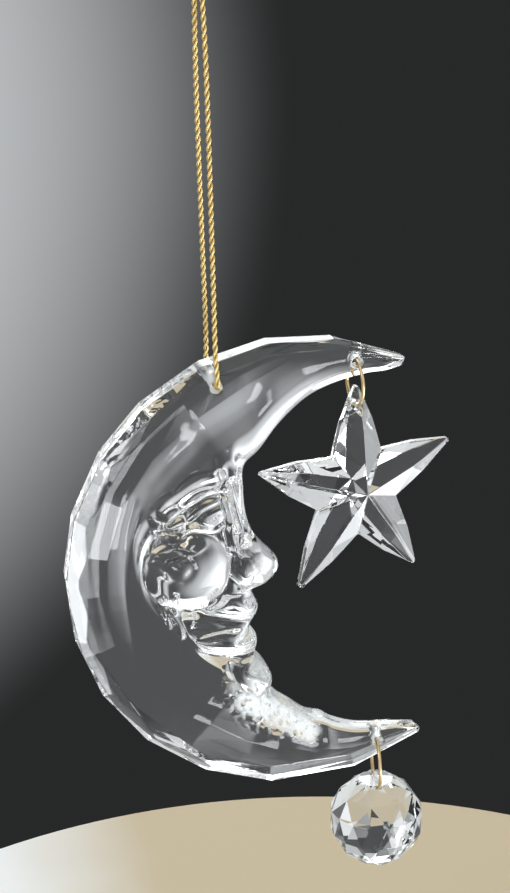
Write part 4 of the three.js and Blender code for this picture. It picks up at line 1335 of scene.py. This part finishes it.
@dataclass
class HungStar:
    """The star: five arms whose sides are cut flat on both faces, and one hole.

    Attributes:
        notch_radius: how far from the middle the notches between the arms are.
        apex: half the thickness in the middle, and shoulder that at shoulder_place along an arm.
        bulge: how far each arm's sides stand out.
        edge_half: half the width of the narrow wall round the star, from front to back.
        hung_arm_cut: how much shorter the hung arm is.
        turn: the star's turn about the upright, in degrees.
        merge: the distance in metres under which corners become one.
    """

    arms: int = 5
    radius: float = 22.4
    notch_radius: float = 9.3
    apex: float = 4.6
    shoulder: float = 3.3
    shoulder_place: float = 0.56
    bulge: float = 0.55
    edge_half: float = 0.7
    tip_half_width: float = 0.35
    hung_arm_cut: float = 1.1
    hole_from_tip: float = 3.9
    hole_radius: float = 1.0
    countersink: float = 0.35
    turn: float = 15.7
    edge_bevel: float = 0.13
    merge: float = 2e-6

    @property
    def hole_up(self) -> float:
        """How far over the star's middle its hole is."""
        return self.radius - self.hung_arm_cut - self.hole_from_tip

    @property
    def hole_half(self) -> float:
        """Half the thickness at the hole."""
        start = self.shoulder_place * self.radius
        tip = self.radius - self.hung_arm_cut
        return mixed(self.shoulder, self.edge_half, (self.hole_up - start) / (tip - start))

    def blank(self, centre: Array) -> bpy.types.Object:
        """The star before its hole: for each arm, side and face, four cuts and a narrow wall.

        Args:
            centre: the star's middle in millimetres.

        Returns:
            The closed star.
        """
        notch = polar(self.notch_radius, 180 / self.arms)
        tips = self.radius - self.hung_arm_cut * (np.arange(self.arms) == 0)
        arm, side, face = (grid.ravel() for grid in np.meshgrid(np.arange(self.arms), [-1, 1], [-1, 1],
                                                                indexing="ij"))
        tip = tips[arm]
        nought, one = np.zeros(len(arm)), np.ones(len(arm))
        middle_along, middle_across = (tip + notch[0]) / 2, (self.tip_half_width + notch[1]) / 2 + self.bulge
        corners = np.stack([
            [nought, nought, self.apex * one],
            [self.shoulder_place * self.radius * one, nought, self.shoulder * one],
            [tip, nought, self.edge_half * one], [tip, self.tip_half_width * one, self.edge_half * one],
            [middle_along, middle_across * one, self.edge_half * one],
            [notch[0] * one, notch[1] * one, self.edge_half * one],
            [tip, nought, nought], [tip, self.tip_half_width * one, nought],
            [middle_along, middle_across * one, nought], [notch[0] * one, notch[1] * one, nought],
        ])
        along, across, half = corners[:, 0], corners[:, 1], corners[:, 2]
        axis = np.radians(90 - arm * 360 / self.arms)
        right = along * np.cos(axis) + side * across * np.sin(axis)
        up = along * np.sin(axis) - side * across * np.cos(axis)
        points = placed(swung(right, face * half, up, self.turn), centre)
        cuts = [[0, 1, 5], [1, 4, 5], [1, 3, 4], [1, 2, 3], [5, 4, 8, 9], [4, 3, 7, 8], [3, 2, 6, 7]]
        count = len(arm)
        faces = [[corner * count + which for corner in cut] for which in range(count) for cut in cuts]
        return linked("cut_star", mesh_of("cut_star", points, faces, False, merge=self.merge))

    def build(self, ring: WireRing, ring_middle: Array, material: bpy.types.Material) -> None:
        """Makes the star on its ring.

        Args:
            ring: the ring it hangs on.
            ring_middle: that ring's middle in millimetres.
            material: its finish.
        """
        down = ring.seat(self.hole_radius, self.hole_half) - ring.radius - self.hole_up
        centre = ring_middle + np.array([0, 0, down])
        star = self.blank(centre)
        bevelled(star, self.edge_bevel)
        hole = drill("star_own_drill", self.hole_radius, self.hole_half, self.countersink, (0, 0, 0))
        to_hole = Matrix.Translation(Vector((centre + np.array([0, 0, self.hole_up])) * MM))
        hole.data.transform(to_hole @ Matrix.Rotation(math.radians(self.turn), 4, "Z"))
        cut_by(star, [hole])
        dressed(star, material, Slot.CUT_ACRYLIC, "hung_star", "star")


@dataclass
class FacetedBall:
    """The ball: flat cuts between rows of corners, and a curved channel under its top.

    Attributes:
        rows: each row's latitude in degrees, its count and whether it is turned half a step.
        ring_depth: how far under the flat top the middle of the ring's wire is at its lowest.
        flat_within: the angle in degrees under which neighbouring faces are one.
    """

    radius: float = 10.0
    rows: tuple[tuple[float, int, int], ...] = (
        (68, 8, 0), (40, 8, 1), (15, 16, 0), (-12, 16, 1), (-38, 8, 1), (-62, 8, 0), (-82, 8, 0),
    )
    ring_depth: float = 1.85
    edge_bevel: float = 0.06
    flat_within: float = 1.0
    channel_steps: int = 96
    channel_sides: int = 24

    def build(self, ring: WireRing, ring_middle: Array, material: bpy.types.Material) -> None:
        """Makes the ball on its ring.

        Args:
            ring: the ring that runs through its channel.
            ring_middle: that ring's middle in millimetres.
            material: its finish.
        """
        top = self.radius * math.sin(math.radians(self.rows[0][0]))
        centre = ring_middle + np.array([0, 0, self.ring_depth - ring.radius - top])
        corners = np.concatenate([self.row_corners(*row) for row in self.rows])
        mesh = bpy.data.meshes.new("cut_ball")
        with editing(mesh) as work:
            for corner in placed(corners, centre):
                work.verts.new(corner)
            bmesh.ops.convex_hull(work, input=work.verts)
            bmesh.ops.dissolve_limit(work, angle_limit=math.radians(self.flat_within), verts=work.verts,
                                     edges=work.edges)
            bmesh.ops.recalc_face_normals(work, faces=work.faces)
        ball = linked("cut_ball", mesh)
        bevelled(ball, self.edge_bevel)
        cut_by(ball, [self.channel(ring, ring_middle)])
        dressed(ball, material, Slot.CUT_ACRYLIC, "hung_ball", "faceted_ball")

    def row_corners(self, latitude: float, count: int, half: int) -> Array:
        """One row's corners on the ball's sphere."""
        outwards, up = polar(self.radius, latitude)
        level = polar(outwards, (np.arange(count) + half / 2) * 360 / count)
        return np.column_stack([level, np.full(count, up)])

    def channel(self, ring: WireRing, ring_middle: Array) -> bpy.types.Object:
        """The solid that the channel takes away: the ring with its gap all round it."""
        steps, sides = self.channel_steps, self.channel_sides
        points = ring.swept(full_turn(steps)[:, None], ring.wire_radius + ring.seat_gap, sides)
        faces = grid_faces(steps, sides, wrap_rows=True, wrap_columns=True).tolist()
        mesh = mesh_of("ring_channel", placed(points, ring_middle), faces, True, merge=NO_GAP)
        return linked("ring_channel", mesh)


# The cord


@dataclass
class Cord:
    """The gold cord: two strands twisted together, down in front, through the moon, up behind.

    Attributes:
        pitch: the length of one whole turn of the twist.
        fine_steps: the steps on which the route's length is measured.
        front_run: the front run's points from the knot to the moon, which the back mirrors.
        reference: a direction that the runs never take.
    """

    radius: float = 0.525
    strand_radius: float = 0.275
    pitch: float = 3.3
    fine_steps: int = 4000
    steps_per_mm: float = 7.0
    sides: int = 32
    front_run: tuple[tuple[float, float, float], ...] = (
        (0.62, -0.2, -0.5), (0.68, -0.8, -6), (0.62, -2, -14), (0.4, -3.5, -26), (0.1, -5, -40),
        (-0.2, -6.4, -54), (-0.42, -7.4, -65), (-0.3, -7.75, -70.2), (-0.1, -7.45, -71.7),
        (0, -6.65, -72.46), (0, -5.5, -72.73), (0, -2.8, -72.75),
    )
    reference: tuple[float, float, float] = (1.0, 0.0, 0.0)

    def route(self) -> Array:
        """The points of the whole run, in millimetres."""
        front = np.array(self.front_run)
        middle = np.array([[0, 0, front[-1, 2]]])
        back = front[::-1] * np.array([-1, -1, 1])
        return np.concatenate([front, middle, back])

    def centreline(self) -> Array:
        """The route's curve at even steps of its length."""
        route = self.route()
        fine = through(route, np.linspace(0, len(route) - 1, self.fine_steps))
        length = np.concatenate([[0], np.cumsum(np.linalg.norm(np.diff(fine, axis=0), axis=1))])
        even = np.linspace(0, length[-1], int(length[-1] * self.steps_per_mm))
        return np.stack([np.interp(even, length, fine[:, axis]) for axis in range(3)], -1)

    def section(self, turn: Array) -> Array:
        """The radius round two touching strands: the far side of the nearer one's circle."""
        apart = self.radius - self.strand_radius
        return apart * np.abs(np.cos(turn)) + np.sqrt(self.strand_radius ** 2 - (apart * np.sin(turn)) ** 2)

    def tube(self, name: str, line: Array, reference: Sequence[float]) -> bpy.types.Mesh:
        """A twisted tube along a line.

        Args:
            name: the mesh's name.
            line: the points of its centreline, evenly spaced, in millimetres.
            reference: a direction that the line never runs along.

        Returns:
            The closed mesh, with turns along and strands across in its UV map.
        """
        tangent = np.gradient(line, axis=0)
        tangent /= np.linalg.norm(tangent, axis=1)[:, None]
        side = np.array(reference) - (tangent @ np.array(reference))[:, None] * tangent
        side /= np.linalg.norm(side, axis=1)[:, None]
        over = np.cross(tangent, side)
        step = np.linalg.norm(np.diff(line, axis=0), axis=1).mean()
        turns = np.arange(len(line)) * step / self.pitch
        around = np.arange(self.sides) / self.sides * 2 * np.pi
        angle = around[None, :] + 2 * np.pi * turns[:, None]
        radius = np.broadcast_to(self.section(around), angle.shape)
        points = (line[:, None] + (radius * np.cos(angle))[..., None] * side[:, None]
                  + (radius * np.sin(angle))[..., None] * over[:, None]).reshape(-1, 3)
        faces, _ = tube_faces(len(line), self.sides)
        mesh = mesh_of(name, points * MM, faces, True)
        self.map_thread(mesh, turns, around)
        with editing(mesh) as work:
            bmesh.ops.recalc_face_normals(work, faces=work.faces)
        return mesh

    def map_thread(self, mesh: bpy.types.Mesh, turns: Array, around: Array) -> None:
        """Writes the UV map: turns along the cord, and from groove to groove across a strand.

        A quad that ends at a groove gets one there, not the nought that the next quad starts at.

        Args:
            mesh: the tube's mesh, its quads first.
            turns: the turns made at each row.
            around: each side's angle.
        """
        layer = mesh.uv_layers.new(name=THREAD_MAP)
        quads = grid_faces(len(turns), self.sides, wrap_columns=True)
        across = (around / np.pi + 0.5) % 1.0
        u = turns[quads // self.sides]
        v = across[quads % self.sides]
        v = np.where(v.max(axis=1, keepdims=True) - v > 0.5, v + 1.0, v)
        values = np.zeros((len(mesh.loops), 2))
        values[: quads.size] = np.stack([u.ravel(), v.ravel()], -1)
        layer.data.foreach_set("uv", values.ravel())

    def build(self, material: bpy.types.Material) -> bpy.types.Object:
        """Makes the cord.

        Args:
            material: its finish.

        Returns:
            The finished piece.
        """
        mesh = self.tube("twisted_cord", self.centreline(), self.reference)
        return dressed(linked("twisted_cord", mesh), material, Slot.GOLD_THREAD, "hanging_cord", "cord")

    def declare(self) -> None:
        """Works out the cord's centreline and does nothing further with it."""
        line = self.centreline()


@dataclass
class Knot:
    """The overhand knot that closes the loop, and its two cut ends.

    Attributes:
        height: the knot's height without its ends.
        reach: the coil's size to the right and left.
        flatness: its size to the front and back, as a share of that.
        lobe: how strongly its lobes cross over each other.
        climb: how far it winds up and down.
        coil_points: the number of points round the coil.
        first_turn: the angle of the first of them, in radians.
        below: the points of the run that comes up into the coil.
        last_drop: how far under the knot's top the coil ends.
        tail_length: the length of the cut end, and tail_shares how much of it each point is up.
        tail_sides: right and back of the points from the coil up to the cut end.
        fine_steps: the steps along the whole knot.
        reference: a direction that the knot never takes.
    """

    height: float = 3.9
    reach: float = 1.15
    flatness: float = 0.62
    lobe: float = 0.45
    climb: float = 0.9
    coil_points: int = 8
    first_turn: float = 0.4
    below: tuple[tuple[float, float, float], ...] = ((0.45, 0, 0.55), (0.5, -0.1, 1.1))
    last_drop: float = 0.4
    tail_length: float = 3.2
    tail_shares: tuple[float, float] = (0.4, 0.72)
    tail_sides: tuple[tuple[float, float], ...] = ((0.9, 0.1), (1.7, 0), (2.0, 0))
    fine_steps: int = 420
    reference: tuple[float, float, float] = (0.3, 0.9, 0.1)

    def build(self, cord: Cord, material: bpy.types.Material) -> bpy.types.Object:
        """Makes the knot: one length of the same cord wound in an overhand knot.

        Args:
            cord: the cord whose strands it has.
            material: its finish.

        Returns:
            The finished piece.
        """
        turn = np.linspace(0, 2 * np.pi, self.coil_points + 1)[:-1] + self.first_turn
        coil = np.stack([
            self.reach * (np.sin(turn) + self.lobe * np.sin(2 * turn)),
            self.flatness * self.reach * (np.cos(turn) - self.lobe * np.cos(2 * turn)),
            self.height / 2 + self.climb * np.sin(1.5 * turn),
        ], -1)
        ends_up = (self.height + share * self.tail_length for share in self.tail_shares)
        above = np.column_stack([np.array(self.tail_sides), [self.height - self.last_drop, *ends_up]])
        route = np.concatenate([np.array(self.below), coil, above])
        fine = through(route, np.linspace(0, len(route) - 1, self.fine_steps))
        mesh = cord.tube("tied_knot", fine, self.reference)
        return dressed(linked("tied_knot", mesh), material, Slot.GOLD_THREAD, "hanging_cord", "cord_knot")


# The stage


def towards(azimuth: float, elevation: float) -> tuple[float, float, float]:
    """The direction from the ornament to something.

    Args:
        azimuth: the side it is on, in degrees; 0 is in front and 90 to the right.
        elevation: how high it is, in degrees.

    Returns:
        The direction, one long.
    """
    side, height = math.radians(azimuth), math.radians(elevation)
    return math.sin(side) * math.cos(height), -math.cos(side) * math.cos(height), math.sin(height)


@dataclass
class Camera:
    """The photograph's view: where it looks, from how far and from which side.

    Attributes:
        roll: the camera's turn about its own axis, in degrees.
        focal_pixels: the focal length in the photograph's pixels.
        distance: how far the camera is from what it looks at, in millimetres.
        aim_from_rim: what it looks at, from the rim's centre.
        sees_between: the nearest and farthest it sees, in metres.
    """

    azimuth: float = -11.0
    elevation: float = 18.0
    roll: float = -1.6
    focal_pixels: float = 1750.0
    distance: float = 340.0
    aim_from_rim: tuple[float, float, float] = (-8.34, 0.0, 25.44)
    sensor: float = 36.0
    sees_between: tuple[float, float] = (0.01, 20.0)

    def build(self, crescent: Crescent) -> None:
        """Makes the camera.

        Args:
            crescent: the moon, from whose rim's centre the aim is measured.
        """
        side, roll = math.radians(self.azimuth), math.radians(self.roll)
        back = Vector(towards(self.azimuth, self.elevation))
        right = Vector((math.cos(side), math.sin(side), 0.0))
        up = back.cross(right)
        cosine, sine = math.cos(roll), math.sin(roll)
        right, up = cosine * right + sine * up, cosine * up - sine * right
        aim = Vector(crescent.centre) + Vector(self.aim_from_rim)
        data = bpy.data.cameras.new("camera")
        data.sensor_width = self.sensor
        data.lens = self.sensor * self.focal_pixels / max(IMAGE_WIDTH, IMAGE_HEIGHT)
        data.clip_start, data.clip_end = self.sees_between
        camera = bpy.data.objects.new("camera", data)
        bpy.context.scene.collection.objects.link(camera)
        turn = Matrix((right, up, back)).transposed().to_4x4()
        camera.matrix_world = Matrix.Translation((aim + back * self.distance) * MM) @ turn
        bpy.context.scene.camera = camera


@dataclass(frozen=True)
class Lamp:
    """A soft window of light: where it is seen from the ornament, its size and strength.

    Attributes:
        name: the lamp's name.
        azimuth: the side it stands on, in degrees; 0 is in front and 90 to the right.
        elevation: how high it stands, in degrees.
        distance: how far away it is, in metres.
        size: its width and height in metres.
        radiance: how bright its face is.
    """

    name: str
    azimuth: float
    elevation: float
    distance: float
    size: tuple[float, float]
    radiance: float

    def build(self, centre: Vector) -> None:
        """Makes the lamp, which faces the ornament's middle, given in metres."""
        data = bpy.data.lights.new(self.name, "AREA")
        data.shape = "RECTANGLE"
        data.size, data.size_y = self.size
        data.energy = self.radiance * math.pi * self.size[0] * self.size[1]
        lamp = bpy.data.objects.new(self.name, data)
        bpy.context.scene.collection.objects.link(lamp)
        away = Vector(towards(self.azimuth, self.elevation))
        lamp.rotation_mode = "QUATERNION"
        lamp.location = centre + away * self.distance
        lamp.rotation_quaternion = away.to_track_quat("Z", "Y")
        lamp.visible_camera = False


@dataclass(frozen=True)
class Glow:
    """A soft round patch of light on the room's walls.

    Attributes:
        azimuth: the side it is on, in degrees; 0 is in front and 90 to the right.
        elevation: how high it is, in degrees.
        inner: the half angle of its even middle, in degrees.
        outer: the half angle where it has faded away, in degrees.
        level: how much it adds to the wall.
    """

    azimuth: float
    elevation: float
    inner: float
    outer: float
    level: float


@dataclass
class Studio:
    """A round table, pale walls with soft light on them, windows, and a dark wall behind.

    Attributes:
        table_right: how far right of the cord the table's middle is.
        pole: the small radius, merged to a point, that the table's profile starts and ends at.
        table_colour: the beige of the table's part to the right and behind, and table_pale
            the colour of the rest.
        pale_from: the distances in metres from the beige's edges between which it turns pale.
        pale_front: how far behind the frame's origin the beige starts, in metres.
        cloud: the unevenness of its edges, and cloud_reach how far it shifts them, in metres.
        behind: the direction that the dark wall is centred on, in degrees.
        dark_half: half the dark wall's width where it starts and ends to fade, in degrees.
        dark_top: the heights, as sines, between which the dark wall fades into the ceiling.
        dark: how bright the dark wall is.
        wall_heights: the heights, as sines, between which the pale wall brightens.
        wall_level: how bright the pale wall is at those heights.
    """

    table_right: float = 16.0
    table_up: float = -252.0
    table_radius: float = 160.0
    table_edge: float = 6.0
    table_sides: int = 160
    edge_steps: int = 9
    pole: float = 1e-3
    merge: float = 3e-6
    table_colour: tuple[float, float, float] = (0.6, 0.5, 0.34)
    table_pale: tuple[float, float, float] = (0.88, 0.89, 0.87)
    table_haze: float = 0.7
    table_shine: float = 0.1
    pale_from: tuple[float, float] = (0.005, -0.045)
    pale_front: float = 0.085
    cloud: Noise = Noise(9.0, 4.0)
    cloud_reach: float = 0.06
    behind: float = 150.0
    dark_half: tuple[float, float] = (34.0, 44.0)
    dark_top: tuple[float, float] = (0.06, 0.3)
    dark: float = 0.022
    wall: tuple[float, float, float] = (0.95, 0.98, 1.0)
    wall_heights: tuple[float, float] = (-0.6, 0.7)
    wall_level: tuple[float, float] = (0.45, 0.74)
    glows: tuple[Glow, ...] = (
        Glow(8, -14, 15, 70, 0.35), Glow(50, -34, 14, 25, 7.0), Glow(-9.6, -15.2, 3.6, 5.4, 11.0),
        Glow(4, -3.2, 1.5, 4, 3.0), Glow(134, -23, 5, 17, 1.0), Glow(172, 28, 10, 22, 3.5),
        Glow(192, -6, 8, 24.5, 0.6),
    )
    lamps: tuple[Lamp, ...] = (
        Lamp("window_left", -62, 38, 0.9, (0.34, 0.42), 2.6),
        Lamp("window_top", 20, 72, 0.9, (0.40, 0.40), 0.9),
    )

    def table(self) -> None:
        """Makes the table: a disc with a rounded edge, a profile carried round its middle."""
        turn = np.linspace(0, np.pi / 2, self.edge_steps)
        radius = [self.pole, *(self.table_radius - self.table_edge * (1 - np.sin(turn))), self.table_radius,
                  self.pole]
        up = [0, *(-self.table_edge * (1 - np.cos(turn))), -2 * self.table_edge, -2 * self.table_edge]
        points = placed(carried_round(list(zip(radius, up)), self.table_sides),
                        (self.table_right, 0.0, self.table_up))
        faces = grid_faces(len(radius), self.table_sides, wrap_columns=True).tolist()
        table = linked("table", mesh_of("table", points, faces, True, merge=self.merge))
        table.data.materials.append(self.table_top())

    def table_top(self) -> bpy.types.Material:
        """Makes the table's material: beige to the right and behind, pale elsewhere."""
        material, tree = new_material("table_top")
        point = tree.place()
        right, back, _ = tree.axes(point)
        beige = right.math("MINIMUM", back - self.pale_front)
        share = beige + self.cloud.over(tree, point) * self.cloud_reach - self.cloud_reach / 2
        colour = tree.blend(share.ramp(*self.pale_from), self.table_colour, self.table_pale)
        tree.finish(tree.principled(colour, Roughness=self.table_haze, Specular_IOR_Level=self.table_shine))
        return material

    def world(self) -> None:
        """Makes the room: pale walls with the soft light on them, and the dark wall behind."""
        world = bpy.data.worlds.new("room")
        bpy.context.scene.world = world
        tree = Tree(world)
        direction = tree.place("Generated")

        def near(azimuth: float, elevation: float, inner: float, outer: float) -> tuple[Value, float, float]:
            """The cosine to a direction, and those where a patch round it ends and starts to fade."""
            cosines = (math.cos(math.radians(half)) for half in (outer, inner))
            return tree.measure("DOT_PRODUCT", direction, towards(azimuth, elevation)), *cosines

        up = tree.axes(direction)[2]
        level = (1 - up * up).math("SQRT")
        behind, outer, inner = near(self.behind, 0.0, *self.dark_half)
        shade = (behind / level).ramp(outer, inner) * up.ramp(*self.dark_top, 1.0, 0.0, "SMOOTHSTEP")
        strength = up.ramp(*self.wall_heights, *self.wall_level) * (1 - shade) + shade * self.dark
        for glow in self.glows:
            cosine, outer, inner = near(glow.azimuth, glow.elevation, glow.inner, glow.outer)
            strength = strength + cosine.ramp(outer, inner, 0.0, glow.level, "SMOOTHSTEP")
        room = tree.node("ShaderNodeBackground", Color=(*self.wall, 1.0), Strength=strength)
        tree.finish(room.outputs[0], "ShaderNodeOutputWorld")

    def build(self) -> None:
        """Makes the table, the room and the lamps."""
        self.table()
        self.world()
        low, high = (Vector(corner) for corner in cad_box)
        for lamp in self.lamps:
            lamp.build((low + high) / 2)


def main() -> None:
    """Builds the ornament and its stage in order."""
    logging.basicConfig(level=logging.INFO, format="%(name)s: %(message)s")
    crescent = Crescent()
    Camera().build(crescent)
    thread = GoldThread().material()
    cord = Cord()
    cord_piece = cord.build(thread)
    knot_piece = Knot().build(cord, thread)
    cord.declare()
    crescent.build()
    cut = Acrylic("cut_acrylic", colour=(0.9, 0.905, 0.905), ripple=0.0000015).material()
    brass = BrassWire().material()
    star_ring = WireRing("star_wire", "star_link", "star_ring", radius=4.6, turn=5.5, joint_at=100)
    ball_ring = WireRing("ball_wire", "ball_link", "ball_ring", radius=5.75, turn=-6, joint_at=80)
    star_ring_middle = crescent.ring_middle(star_ring, crescent.star_hole)
    ball_ring_middle = crescent.ring_middle(ball_ring, crescent.ball_hole)
    star_ring.build(star_ring_middle, brass)
    ball_ring.build(ball_ring_middle, brass)
    HungStar().build(star_ring, star_ring_middle, cut)
    FacetedBall().build(ball_ring, ball_ring_middle, cut)
    Studio().build()

    bpy.context.scene.view_settings.view_transform = "Standard"


if __name__ == "__main__":
    main()
